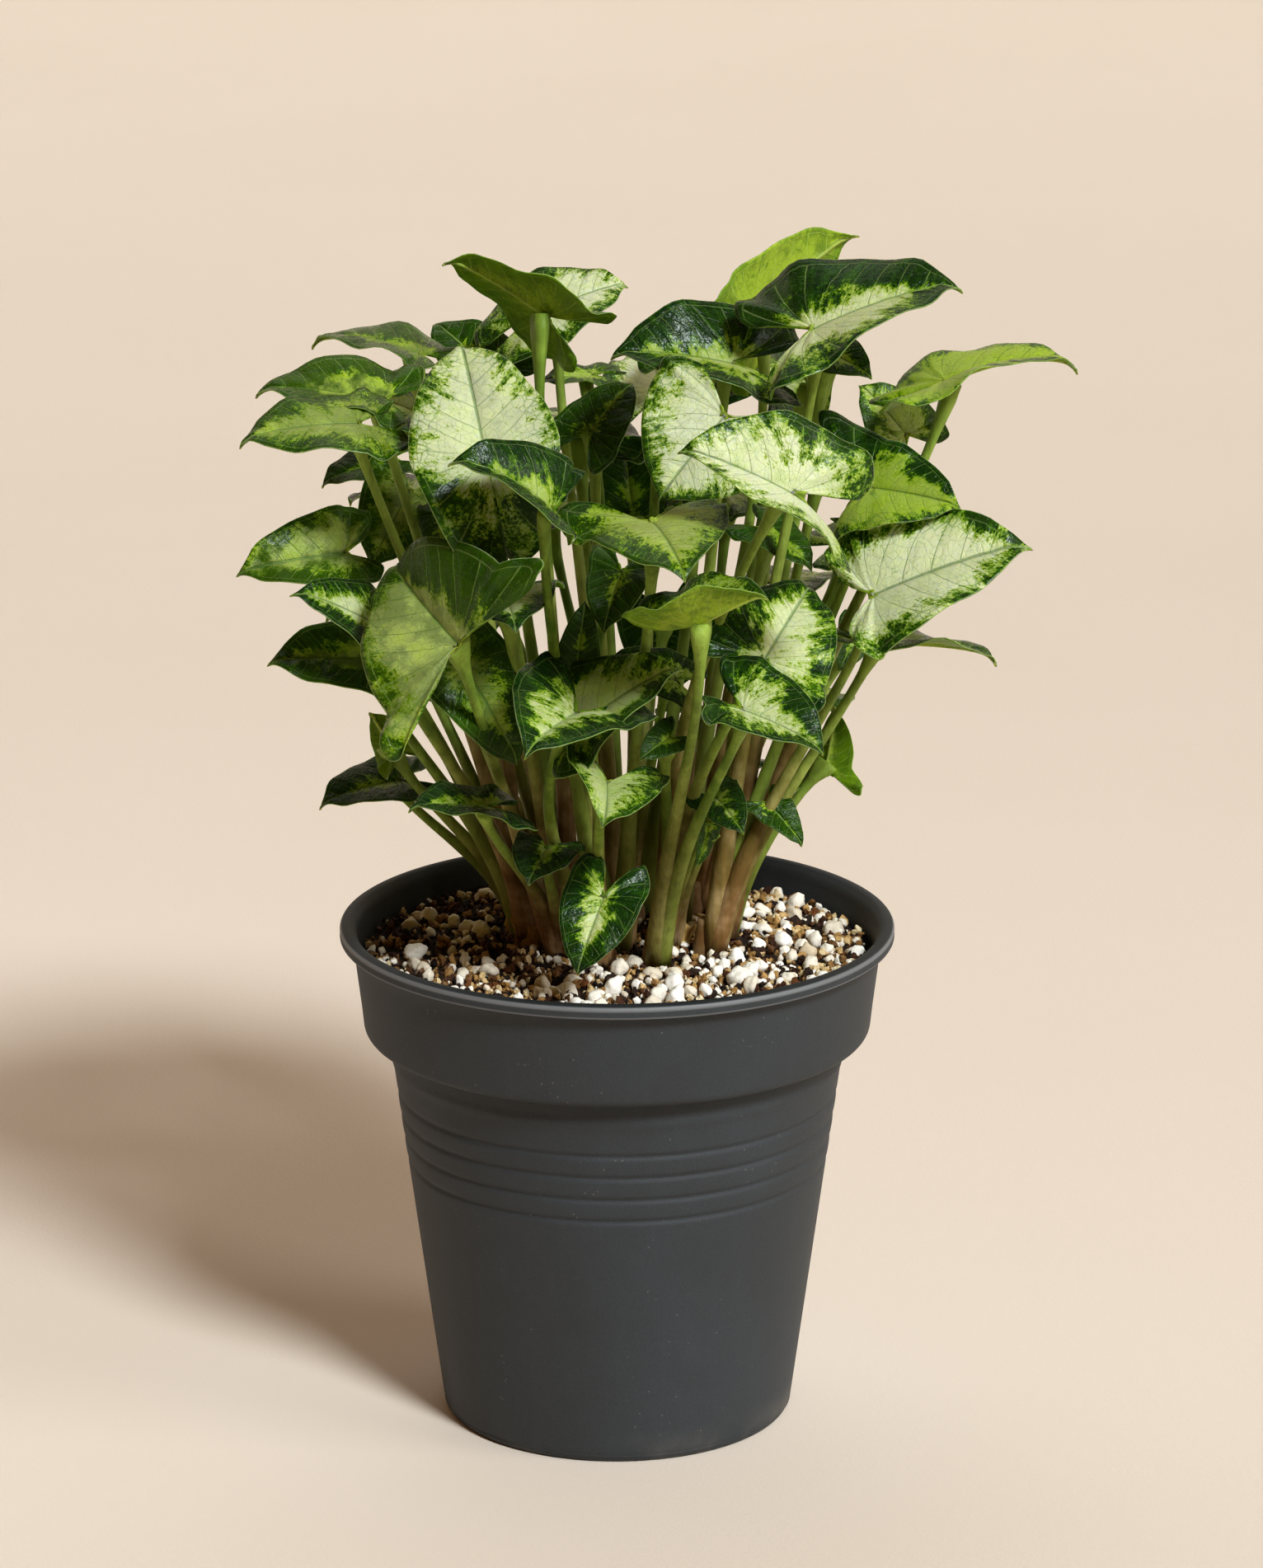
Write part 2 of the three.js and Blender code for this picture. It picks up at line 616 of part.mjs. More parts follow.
// A petiole rises from the stem and bends over under its blade
function petioleSolid(start, form) {
  const { along, up } = leafFrame(form);
  const end = vector(form.base).addScaledVector(up, -0.5 * bladeThickness).addScaledVector(along, petioleInset);
  const reach = end.clone().sub(start);
  const length = reach.length();
  const lean = reach.clone().normalize();
  const leave = new THREE.Vector3(0.55 * lean.x, 0.55 * lean.y, 1).normalize();
  const arrive = lean.multiplyScalar(0.9).addScaledVector(up, 0.45).addScaledVector(along, 0.1).normalize();
  const sideways = new THREE.Vector3(-reach.y, reach.x, 0).normalize();
  const path = new THREE.CubicBezierCurve3(
    start,
    start.clone().addScaledVector(leave, 0.36 * length).addScaledVector(sideways, form.sway),
    end.clone().addScaledVector(arrive, -0.3 * length).addScaledVector(sideways, form.sway),
    end,
  );
  return toSolid(taperedBar(path, petioleRings, petioleSides, sideways));
}

function shootSolid({ foot, leaves }) {
  const top = mixTop + stemRise;
  const stemPath = new THREE.LineCurve3(vector([...foot, mixTop - rootDepth]), vector([...foot, top]));
  const rings = stemRings.map(([share, radius]) => [share, radius * stemRadius]);
  let shoot = toSolid(taperedBar(stemPath, rings, stemSides, new THREE.Vector3(1, 0, 0)));
  for (const form of leaves) {
    const [x, y] = [form.base[0] - foot[0], form.base[1] - foot[1]];
    const lean = (petioleStart * stemRadius) / Math.hypot(x, y);
    const start = vector([foot[0] + lean * x, foot[1] + lean * y, mixTop + 1]);
    shoot = shoot.add(petioleSolid(start, form)).add(bladeSolid(form));
  }
  return shoot;
}

// The object

const plant = new THREE.Group();

function addPiece(name, solid, color, roughness) {
  const material = new THREE.MeshStandardMaterial({ color, roughness, metalness: 0 });
  const mesh = new THREE.Mesh(toGeometry(solid), material);
  mesh.name = name;
  plant.add(mesh);
}

addPiece('pot', potSolid(), '#3b3d42', 0.7);
addPiece('soil', mixSolid(), '#5b4536', 0.95);
shoots.forEach((shoot, k) => {
  addPiece(`shoot_${String(k + 1).padStart(2, '0')}`, shootSolid(shoot), '#5f9440', 0.45);
});

export default plant;
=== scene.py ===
import math
import random

import bmesh
import bpy
import numpy as np
from mathutils import Euler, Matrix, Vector, noise


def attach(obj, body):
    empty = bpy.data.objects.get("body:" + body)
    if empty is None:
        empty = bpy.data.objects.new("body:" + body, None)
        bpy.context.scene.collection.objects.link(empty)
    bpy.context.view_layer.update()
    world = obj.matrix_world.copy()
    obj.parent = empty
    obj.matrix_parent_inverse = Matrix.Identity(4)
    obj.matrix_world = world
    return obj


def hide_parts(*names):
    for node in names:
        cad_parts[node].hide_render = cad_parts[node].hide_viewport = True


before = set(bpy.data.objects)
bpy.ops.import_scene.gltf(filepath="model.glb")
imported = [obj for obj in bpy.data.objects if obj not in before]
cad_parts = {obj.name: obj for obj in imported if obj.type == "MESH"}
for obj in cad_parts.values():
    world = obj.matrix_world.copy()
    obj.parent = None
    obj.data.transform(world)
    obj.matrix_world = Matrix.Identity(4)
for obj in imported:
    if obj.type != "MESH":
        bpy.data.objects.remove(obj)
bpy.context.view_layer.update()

mm = 0.001  # every size below is in millimetres
print("frame loaded with", len(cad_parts), "nodes")


def hexColour(code):
    channels = [int(code[k:k + 2], 16) / 255 for k in (0, 2, 4)]
    linear = [c / 12.92 if c < 0.04045 else ((c + 0.055) / 1.055) ** 2.4 for c in channels]
    return (*linear, 1.0)


# Shader building

class Wire:  # one output of a shader node, used with Python's operators
    def __init__(self, paint, socket):
        self.paint = paint
        self.socket = socket

    def calc(self, operation, *values):
        return self.paint.add("ShaderNodeMath", {"operation": operation}, dict(enumerate(values)))

    def __add__(self, other):
        return self.calc("ADD", self, other)

    def __radd__(self, other):
        return self.calc("ADD", other, self)

    def __sub__(self, other):
        return self.calc("SUBTRACT", self, other)

    def __rsub__(self, other):
        return self.calc("SUBTRACT", other, self)

    def __mul__(self, other):
        return self.calc("MULTIPLY", self, other)

    def __rmul__(self, other):
        return self.calc("MULTIPLY", other, self)

    def rise(self, low, high):  # 0 below low, 1 above high, smooth between; low may be the larger
        return self.paint.add("ShaderNodeMapRange", {"interpolation_type": "SMOOTHSTEP"},
                              {0: self, 1: low, 2: high, 3: 0.0, 4: 1.0})

    def apart(self):  # distance to the nearest whole number
        return self.calc("PINGPONG", self, 0.5)

    def fraction(self):
        return self.calc("FRACT", self)

    def size(self):
        return self.calc("ABSOLUTE", self)

    def orMore(self, other):  # the larger of the two
        return self.calc("MAXIMUM", self, other)


class Paint:  # one material and the nodes in it
    def __init__(self, name):
        self.material = bpy.data.materials.new(name)
        self.material.use_nodes = True
        self.tree = self.material.node_tree
        self.tree.nodes.clear()

    def add(self, kind, settings=None, values=None, output=0):
        node = self.tree.nodes.new(kind)
        for key, value in (settings or {}).items():
            if key == "stops":
                self.setStops(node.color_ramp, value)
            else:
                setattr(node, key, value)
        for key, value in (values or {}).items():
            if isinstance(value, Wire):
                self.tree.links.new(value.socket, node.inputs[key])
            else:
                node.inputs[key].default_value = hexColour(value) if isinstance(value, str) else value
        if len(node.outputs):
            return Wire(self, node.outputs[output])

    def setStops(self, ramp, stops):
        while len(ramp.elements) < len(stops):
            ramp.elements.new(0.5)
        for element, (place, colour) in zip(ramp.elements, stops):
            element.position = place
            element.color = hexColour(colour)

    def mark(self, name):  # a vector kept at the mesh's points, as three wires
        vector = self.add("ShaderNodeAttribute", {"attribute_name": name}, output=1)
        return [self.part(vector, axis) for axis in range(3)]

    def part(self, vector, axis):
        return self.add("ShaderNodeSeparateXYZ", values={0: vector}, output=axis)

    def join(self, x, y, z):
        return self.add("ShaderNodeCombineXYZ", values={0: x, 1: y, 2: z})

    def objectPlace(self):  # metres in the object's own frame
        return self.add("ShaderNodeTexCoord", output=3)

    def stretch(self, vector, scale):
        return self.add("ShaderNodeMapping", values={0: vector, 3: scale})

    def grain(self, vector, scale, detail=2.0, rough=0.5):
        return self.add("ShaderNodeTexNoise", values={"Vector": vector, "Scale": scale, "Detail": detail,
                                                      "Roughness": rough})

    def cells(self, vector, scale, feature="DISTANCE_TO_EDGE", output=0):
        values = {"Vector": vector, "Scale": scale}
        return self.add("ShaderNodeTexVoronoi", {"feature": feature}, values, output)

    def mix(self, share, first, second):  # a colour is a wire or a code
        return self.add("ShaderNodeMix", {"data_type": "RGBA", "clamp_factor": True},
                        {0: share, 6: first, 7: second}, output=2)

    def layers(self, colour, *coats):  # each coat is a share and the colour it lays over the rest
        for share, coat in coats:
            colour = self.mix(share, colour, coat)
        return colour

    def ramp(self, share, stops):
        return self.add("ShaderNodeValToRGB", {"stops": stops}, {0: share})

    def bump(self, height, distance, strength=1.0, before=None):
        values = {"Strength": strength, "Distance": distance, "Height": height}
        if before:
            values["Normal"] = before
        return self.add("ShaderNodeBump", values=values)

    def finish(self, colour, rough, normal, others=None):
        values = {"Base Color": colour, "Roughness": rough, "Normal": normal, **(others or {})}
        shader = self.add("ShaderNodeBsdfPrincipled", values=values)
        self.add("ShaderNodeOutputMaterial", values={0: shader})
        return self.material


# Mesh building

class Heap:  # points, faces and marks of many parts, gathered for one mesh
    def __init__(self):
        self.points = []
        self.faces = []
        self.marks = {}
        self.count = 0

    def put(self, points, faces, **marks):
        self.points.append(points)
        for face in faces:
            self.faces.append([k + self.count for k in face])
        for name, values in marks.items():
            self.marks.setdefault(name, []).append(np.broadcast_to(values, (len(points), 3)))
        self.count += len(points)


def addToScene(name, data):
    thing = bpy.data.objects.new(name, data)
    bpy.context.scene.collection.objects.link(thing)
    return thing


def makeMesh(name, heap, paint, smooth=True):
    mesh = bpy.data.meshes.new(name)
    mesh.from_pydata((np.concatenate(heap.points) * mm).tolist(), [], heap.faces)
    for mark, values in heap.marks.items():
        layer = mesh.attributes.new(mark, "FLOAT_VECTOR", "POINT")
        layer.data.foreach_set("vector", np.concatenate(values).astype(np.float32).ravel())
    mesh.polygons.foreach_set("use_smooth", [smooth] * len(mesh.polygons))
    mesh.materials.append(paint)
    mesh.update()
    return addToScene(name, mesh)


def makePiece(name, heap, paint, node, smooth=True):
    piece = makeMesh(name, heap, paint, smooth)
    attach(piece, "root")
    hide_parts(node)
    return piece


def turnsAround(count):
    return 2 * math.pi * np.arange(count) / count


def circle(radius, z, count, centre=(0, 0)):  # a ring of points, or one point where the radius is 0
    turns = turnsAround(count)[:count if radius else 1]
    x, y = centre[0] + radius * np.cos(turns), centre[1] + radius * np.sin(turns)
    return np.stack([x, y, np.full(len(turns), z)], 1)


def loft(rings):  # a skin over rings; its ends are filled, or closed by a ring of one point
    count = max(len(ring) for ring in rings)
    rows, start = [], 0
    for ring in rings:
        rows.append([start + s % len(ring) for s in range(count)])
        start += len(ring)
    faces = [end for end in (rows[0][::-1], rows[-1]) if len(set(end)) > 1]
    for low, high in zip(rows, rows[1:]):
        for s in range(count):
            t = (s + 1) % count
            faces.append(list(dict.fromkeys([low[s], low[t], high[t], high[s]])))
    return np.concatenate(rings), faces


# Pot

potForm = {
    "baseRadius": 41.4, "wall": 1.4, "footChamfer": 1.2,
    "collarTop": (62, 116.4), "collarFoot": (59.6, 94.7), "bodyTop": (53.7, 93.2),
    "grooves": (62.8, 68.2, 73.8, 79.3), "grooveDepth": 0.5, "grooveHalfWidth": 0.6,
    "swell": 0.08,  # of the wall between two grooves
    "bead": 0.3, "beadHeight": 87.4, "beadHalfWidth": 1.4,
    "floorRings": (0, 18, 34),
    # the rounded foot, out from the base radius and up; then both sides of the lip, as radius and height
    "foot": ((-1.6, 0), (-1, 0.15), (-0.45, 0.6), (-0.2, 1.3), (0.05, 1.5), (-0.12, 1.75), (0.1, 2.1)),
    "lipOutside": ((62.9, 116.75), (63.5, 116.6)),
    "lipInside": ((63.2, 119.85), (62.3, 119.7), (61.7, 119.2), (61.1, 118.3), (60.8, 117.0)),
    "shoulderRadius": 2.6, "shoulderRise": 1.4,
    "drainCount": 6, "drainRadius": 3.6, "drainRing": 27, "drainSegments": 28, "drillReach": 3,
    "segments": 176, "bodyFrom": 3.4, "bodyGap": 0.8, "coarseStep": 3.0, "fineStep": 0.45,
    # the light rim colour is a painted highlight on the edges of the lip
    # the near-black colour is painted shade on the flat top of the lip
    "plastic": "33373a", "worn": "40464d", "dust": "8d8478", "lipTopPaintedShade": "14181d", "rim": "8d8f92",
    "bloom": "5a5d62",
}


def arc(centre, radius, start, end, steps):
    turns = [math.radians(start + (end - start) * k / steps) for k in range(steps + 1)]
    return [(centre[0] + radius * math.cos(t), centre[1] + radius * math.sin(t)) for t in turns]


def bodyRadius(z):
    form = potForm
    top, topZ = form["bodyTop"]
    first, last = form["grooves"][0], form["grooves"][-1]
    slope = (top - form["baseRadius"]) / (topZ - form["footChamfer"])
    radius = form["baseRadius"] + slope * (z - form["footChamfer"])
    for groove in form["grooves"]:
        radius -= form["grooveDepth"] * math.exp(-((z - groove) / form["grooveHalfWidth"]) ** 2)
    if first < z < last:
        spacing = (last - first) / (len(form["grooves"]) - 1)
        radius += form["swell"] * math.sin(math.pi * (z - first) / spacing) ** 2
    return radius + form["bead"] * math.exp(-((z - form["beadHeight"]) / form["beadHalfWidth"]) ** 2)


def bodyProfile():
    form = potForm
    rows = []
    z = form["bodyFrom"]
    while z < form["bodyTop"][1] - form["bodyGap"]:
        rows.append((bodyRadius(z), z))
        z += form["fineStep"] if z > form["grooves"][0] - form["coarseStep"] else form["coarseStep"]
    return rows


def potProfile():
    form = potForm
    base, wall = form["baseRadius"], form["wall"]
    collarTop, collarFoot, bodyTop = form["collarTop"], form["collarFoot"], form["bodyTop"]
    foot = [(radius, 0) for radius in form["floorRings"]] + [(base + out, z) for out, z in form["foot"]]
    step = [(bodyTop[0] + 0.4, bodyTop[1] + 0.05)]
    bend = form["shoulderRadius"]
    shoulder = arc((collarFoot[0] - bend, collarFoot[1] + form["shoulderRise"]), bend, -95, -8, 7)
    collar = [(collarFoot[0] + (collarTop[0] - collarFoot[0]) * k / 5,
               collarFoot[1] + 2 + (collarTop[1] - collarFoot[1] - 2.4) * k / 5) for k in range(1, 6)]
    lip = [*form["lipOutside"], *arc((64.4, 117.15), 0.58, -80, 0, 4), (64.9, 117.9),
           *arc((64.1, 118.75), 0.88, 0, 80, 5), *form["lipInside"]]
    inside = [(collarFoot[0] - wall, collarFoot[1] + wall), (bodyTop[0] - wall, bodyTop[1] + wall),
              (base - wall, wall), (0, wall)]
    return foot + bodyProfile() + step + shoulder + collar + lip + inside


def potPaint():
    form = potForm
    paint = Paint("greyPlastic")
    place = paint.objectPlace()
    height = paint.part(place, 2)
    fine = paint.grain(place, 2600, 3.0, 0.6)
    cloud = paint.grain(place, 30, 4.0, 0.6)
    streak = paint.grain(paint.stretch(place, (1, 1, 0.12)), 260, 3.0)
    specks = paint.cells(place, 420, "F1").rise(0.13, 0.06) * paint.grain(place, 60, 2.0).rise(0.52, 0.62)
    flat = paint.stretch(place, (1, 1, 0))
    radius = paint.add("ShaderNodeVectorMath", {"operation": "LENGTH"}, {0: flat}, output=1)
    # painted highlight: the outer top edge of the lip and the lower edge of its bead are painted lighter,
    # as if catching the light
    rim = radius.rise(0.0644, 0.0648) * height.rise(0.1182, 0.1188)
    rim = rim + 0.7 * radius.rise(0.063, 0.064) * (height - 0.1169).size().rise(0.0004, 0.0001)
    foot = height.rise(0.009, 0.001) * cloud.rise(0.45, 0.7)
    colour = paint.layers(
        form["plastic"],
        (cloud.rise(0.3, 0.75) * 0.35, form["worn"]),
        (streak.rise(0.55, 0.8) * 0.18, form["worn"]),
        # painted shade: the flat top of the lip is painted dark so that it does not look lit
        (height.rise(0.119, 0.1195) * 0.6, form["lipTopPaintedShade"]),
        (rim * 0.6, form["rim"]),
        (fine.rise(0.35, 0.75) * 0.16, form["bloom"]),
        (specks * 0.35 + foot * 0.3, form["dust"]),
    )
    rough = 0.5 + 0.16 * cloud - 0.1 * rim + 0.06 * fine
    normal = paint.bump(fine, 0.00016, 0.55)
    normal = paint.bump(cloud, 0.0006, 0.25, normal)
    return paint.finish(colour, rough, normal, {"Specular IOR Level": 0.45})


def makePot():
    form = potForm
    plastic = potPaint()
    shell, holes = Heap(), Heap()
    shell.put(*loft([circle(radius, z, form["segments"]) for radius, z in potProfile()]))
    pot = makePiece("nurseryPot", shell, plastic, "pot")
    for centre in circle(form["drainRing"], 0, 2 * form["drainCount"])[1::2]:
        ends = (-form["drillReach"], form["drillReach"])
        holes.put(*loft([circle(form["drainRadius"], z, form["drainSegments"], centre) for z in ends]))
    drill = makeMesh("drill", holes, plastic, False)
    cut = pot.modifiers.new("holes", "BOOLEAN")
    cut.object = drill
    cut.solver = "EXACT"
    bpy.context.view_layer.update()
    cutMesh = bpy.data.meshes.new_from_object(pot.evaluated_get(bpy.context.evaluated_depsgraph_get()))
    pot.modifiers.clear()
    pot.data = cutMesh
    bpy.data.objects.remove(drill)
    print("pot made with", len(pot.data.polygons), "faces")


# Potting mix

mixForm = {
    "top": 113.2, "radius": 60.4, "swell": 0.6, "dish": 1.2, "dishRadius": 58.2, "rings": 84, "spokes": 210,
    "body": ((40, 1.9), (51.8, 95), (57, 97), (59.2, 106)),  # radius and height, below the surface
    "lumps": 0.9, "wallDip": 0.9, "wallFrom": 0.96, "seed": 5,
    "grainRing": 59, "grainEdge": 60, "stemGap": 3.2, "grainShapes": 9, "tries": 40000,
    "crowding": 0.82,  # distance that two perlite grains keep, as a share of their half widths
    "smallBias": 2.2,  # above 1, small grains outnumber large ones
    "peat": "2c1a10", "humus": "170d08", "bark": "5a3319", "fibre": "7b5331",
}
grainForm = {
    # sizes: smallest and largest half width, detail: of the round start, lump: how uneven,
    # flat: share kept along each axis, sink: how deep it sits
    "perlite": {"count": 335, "sizes": (1.0, 3.2), "detail": 3, "lump": 0.27, "flat": (1, 0.84, 0.72),
                "sink": 0.1, "smooth": True},
    "perliteDust": {"count": 430, "sizes": (0.35, 1.1), "detail": 2, "lump": 0.25, "flat": (1, 0.8, 0.7),
                    "sink": 0.05, "smooth": True},
    "vermiculite": {"count": 2350, "sizes": (0.5, 1.45), "detail": 2, "lump": 0.45, "flat": (1, 0.8, 0.6),
                    "sink": 0.15, "smooth": False},
    "peatCrumbs": {"count": 1300, "sizes": (0.5, 1.9), "detail": 2, "lump": 0.6, "flat": (1, 0.7, 0.55),
                   "sink": 0.3, "smooth": False},
}
perliteHeaps = [(18, -27, 13), (-12, -40, 12), (44, -18, 13), (-46, -22, 12), (34, -38, 10), (38, 22, 14),
                (2, -46, 9)]


def mixHeight(x, y):
    form = mixForm
    swell = math.sin(x * 0.17 + 1) * math.cos(y * 0.21) + 0.6 * math.sin(x * 0.41 - y * 0.33)
    return form["top"] + form["swell"] * swell - form["dish"] * (math.hypot(x, y) / form["dishRadius"]) ** 4


def mixSurface(x, y):
    lump = noise.noise((x * 0.35, y * 0.35, 2.0)) + 0.6 * noise.noise((x * 0.9, y * 0.9, 7.0))
    crumb = 0.35 * noise.noise((x * 2.3, y * 2.3, 4.0))
    return mixHeight(x, y) + mixForm["lumps"] * (lump + crumb)


def mixPaint():
    form = mixForm
    paint = Paint("peat")
    place = paint.objectPlace()
    coarse = paint.grain(place, 330, 5.0, 0.65)
    fine = paint.grain(place, 1500, 4.0, 0.7)
    chips = paint.cells(place, 620, "F1")
    tone = paint.part(paint.cells(place, 620, "F1", 1), 0)
    colour = paint.layers(
        form["humus"],
        (coarse.rise(0.35, 0.65), form["peat"]),
        (tone.rise(0.62, 0.8) * chips.rise(0.5, 0.2) * 0.75, form["bark"]),
        (tone.rise(0.15, 0.05) * 0.6, form["fibre"]),
        (fine.rise(0.55, 0.75) * 0.3, form["fibre"]),
    )
    return paint.finish(colour, 0.78 + 0.15 * fine, paint.bump(coarse + 0.5 * fine, 0.0012, 0.9))


def makeMixBed():
    form = mixForm
    rings = [circle(radius, z, form["spokes"]) for radius, z in form["body"]]
    for k in range(form["rings"], -1, -1):
        share = k / form["rings"]
        ring = circle(form["radius"] * share ** 0.85, 0.0, form["spokes"])
        dip = form["wallDip"] * max(0.0, share - form["wallFrom"]) / (1 - form["wallFrom"])
        ring[:, 2] = [mixSurface(x, y) - dip for x, y, _ in ring]
        rings.append(ring)
    heap = Heap()
    heap.put(*loft(rings))
    makePiece("mixBed", heap, mixPaint(), "soil")
    print("mix bed made with", len(heap.faces), "faces")


def grainPaint(kind):
    paint = Paint(kind)
    place = paint.objectPlace()
    tint, other, _ = paint.mark("grainTint")
    fine = paint.grain(place, 2600, 3.0, 0.6)
    coarse = paint.grain(place, 700, 3.0, 0.6)
    if kind.startswith("perlite"):
        colour = paint.ramp(tint, ((0, "dccfba"), (0.25, "eee4d4"), (0.6, "f8f1e6"), (1, "fdf8f0")))
        colour = paint.mix(coarse.rise(0.6, 0.8) * 0.35, colour, "b59a78")
        colour = paint.mix(other.rise(0.9, 0.97) * 0.4, colour, "c8a878")
        return paint.finish(colour, 0.75 + 0.15 * fine, paint.bump(fine + coarse, 0.0004, 0.5))
    if kind == "vermiculite":
        tones = ((0, "5d3b1e"), (0.3, "8f6a3a"), (0.6, "bb9459"), (0.85, "d8bd8c"), (1, "eadbb8"))
        colour = paint.mix(fine.rise(0.5, 0.75) * 0.4, paint.ramp(tint, tones), "5c3a1c")
        return paint.finish(colour, 0.42 + 0.25 * coarse, paint.bump(fine, 0.0003, 0.6))
    tones = ((0, "180e08"), (0.4, "2f1b10"), (0.75, "4b2a16"), (1, "74461f"))
    colour = paint.mix(fine.rise(0.5, 0.8) * 0.4, paint.ramp(tint, tones), "6d4a2c")
    return paint.finish(colour, 0.7 + 0.2 * fine, paint.bump(fine + coarse, 0.0006, 0.7))


def grainShapes(form, draw):  # a few lumps that all the grains of a kind are turned copies of
    shapes = []
    for _ in range(mixForm["grainShapes"]):
        shape = bmesh.new()
        bmesh.ops.create_icosphere(shape, subdivisions=form["detail"], radius=1)
        seed = draw.uniform(0, 90)
        points = []
        for vertex in shape.verts:
            x, y, z = vertex.co
            lump = noise.noise((1.3 * x + seed, 1.3 * y, 1.3 * z))
            facet = noise.noise((3.1 * x, 3.1 * y + seed, 3.1 * z))
            reach = 1 + form["lump"] * (1.3 * lump + 0.45 * facet)
            points.append([reach * c * f for c, f in zip((x, y, z), form["flat"])])
        faces = [[v.index for v in face.verts] for face in shape.faces]
        shape.free()
        shapes.append((np.array(points), faces))
    return shapes


def grainWanted(kind, x, y, draw):  # the share of places that a kind takes
    if kind == "perlite":
        share = 0.16 + 0.2 * (y < -10) + 0.16 * (x > 10)
        for hx, hy, size in perliteHeaps:
            share += 0.75 * math.exp(-((x - hx) ** 2 + (y - hy) ** 2) / size ** 2)
        return draw.random() < share
    if kind == "perliteDust":
        return draw.random() < (0.75 if x > -20 or y < -10 else 0.3)
    if kind == "vermiculite":
        return draw.random() < (0.85 if x > -25 or y < -15 else 0.45)
    return True


def makeGrains(kind, taken):
    form = grainForm[kind]
    draw = random.Random(mixForm["seed"] + len(kind))
    shapes = grainShapes(form, draw)
    heap = Heap()
    small, large = form["sizes"]
    count, tries = 0, 0
    while count < form["count"] and tries < mixForm["tries"]:
        tries += 1
        turn, ring = 2 * math.pi * draw.random(), mixForm["grainRing"] * math.sqrt(draw.random())
        x, y = ring * math.cos(turn), ring * math.sin(turn)
        half = small + (large - small) * draw.random() ** mixForm["smallBias"]
        if ring + half > mixForm["grainEdge"] or not grainWanted(kind, x, y, draw):
            continue
        if kind == "perlite":
            apart = mixForm["crowding"]
            if any(math.hypot(x - px, y - py) < apart * (half + ph) for px, py, ph in taken):
                continue
            taken.append((x, y, half))
        if any(math.hypot(x - fx, y - fy) < mixForm["stemGap"] + half for fx, fy in feet):
            continue
        points, faces = shapes[draw.randrange(len(shapes))]
        spin = Euler([draw.uniform(0, 6.28) for _ in range(3)]).to_matrix()
        placed = points @ np.array(spin).T * half
        z = mixSurface(x, y) + half * (0.55 - form["sink"]) + draw.uniform(0, 0.5)
        tint = (draw.random(), draw.random(), draw.random())
        heap.put(placed + (x, y, z), faces, grainTint=tint)
        count += 1
    makePiece(kind, heap, grainPaint(kind), "soil", form["smooth"])
    print(kind, "made:", count, "grains,", len(heap.faces), "faces")


# Leaves: the rows hold where the petiole joins the blade, its tip, the way its upper side
# faces, its colouring and what differs from the usual form

halfOutline = np.array([
    (1.00, 0.000), (0.95, 0.035), (0.86, 0.115), (0.72, 0.225), (0.52, 0.335),
    (0.28, 0.425), (0.04, 0.465), (-0.18, 0.455), (-0.37, 0.405), (-0.51, 0.315),
    (-0.56, 0.215), (-0.50, 0.130), (-0.33, 0.070), (-0.14, 0.030), (0.00, 0.000),
])
widestKnot = 6
lobeReach = 0.56
halfWidth = 0.465
leafForm = {
    "width": 1, "reach": 1, "spread": 0.3, "bend": 20, "hook": 20, "fold": 12, "cup": 15,
    "lobeLeft": 20, "lobeRight": 20, "wave": 0.02, "sway": 0,
    "lean": 0,  # how much greener the left half is than the right one
    "lobeGreen": 0,  # and the lobes than the rest, partly their own colour and partly painted shade for lobes in other leaves' shadow
    "shade": 0.1,  # how much of it is clouded with dull olive green, partly its own colour and partly painted shade on leaves that stand in shadow
}
leafLooks = {
    # whiteness of the middle, share of the blade that stays green, yellow in the pale part,
    # depth of the green, speckle of the change between them
    "white": (0.95, 0.1, 0.3, 0.6, 1.0),
    "cream": (0.6, 0.28, 0.6, 0.4, 1.0),
    "splash": (0.8, 0.5, 0.45, 0.95, 0.8),
    "star": (0.45, 0.76, 0.6, 1.0, 0.6),
    "fresh": (0.12, 0.3, 0.55, 0.9, 0.7),
    "lime": (0.35, 0.36, 0.95, 0.25, 1.2),
    "young": (0.12, 0.12, 1.0, 0.1, 0.6),
    "mottled": (0.3, 0.58, 0.9, 0.45, 1.3),
    "feather": (0.75, 0.66, 0.45, 0.95, 0.6),
    "dusky": (0.5, 0.42, 0.8, 0.12, 1.0),
    "olive": (0.25, 0.66, 0.85, 0.12, 0.9),
    "green": (0.1, 0.9, 0.7, 0.35, 0.8),
    "plain": (0.1, 0.7, 1.0, 0.1, 0.6),
}


def leaf(base, tip, face, look, **form):
    return {"base": base, "tip": tip, "face": face, "look": look, **leafForm, **form}


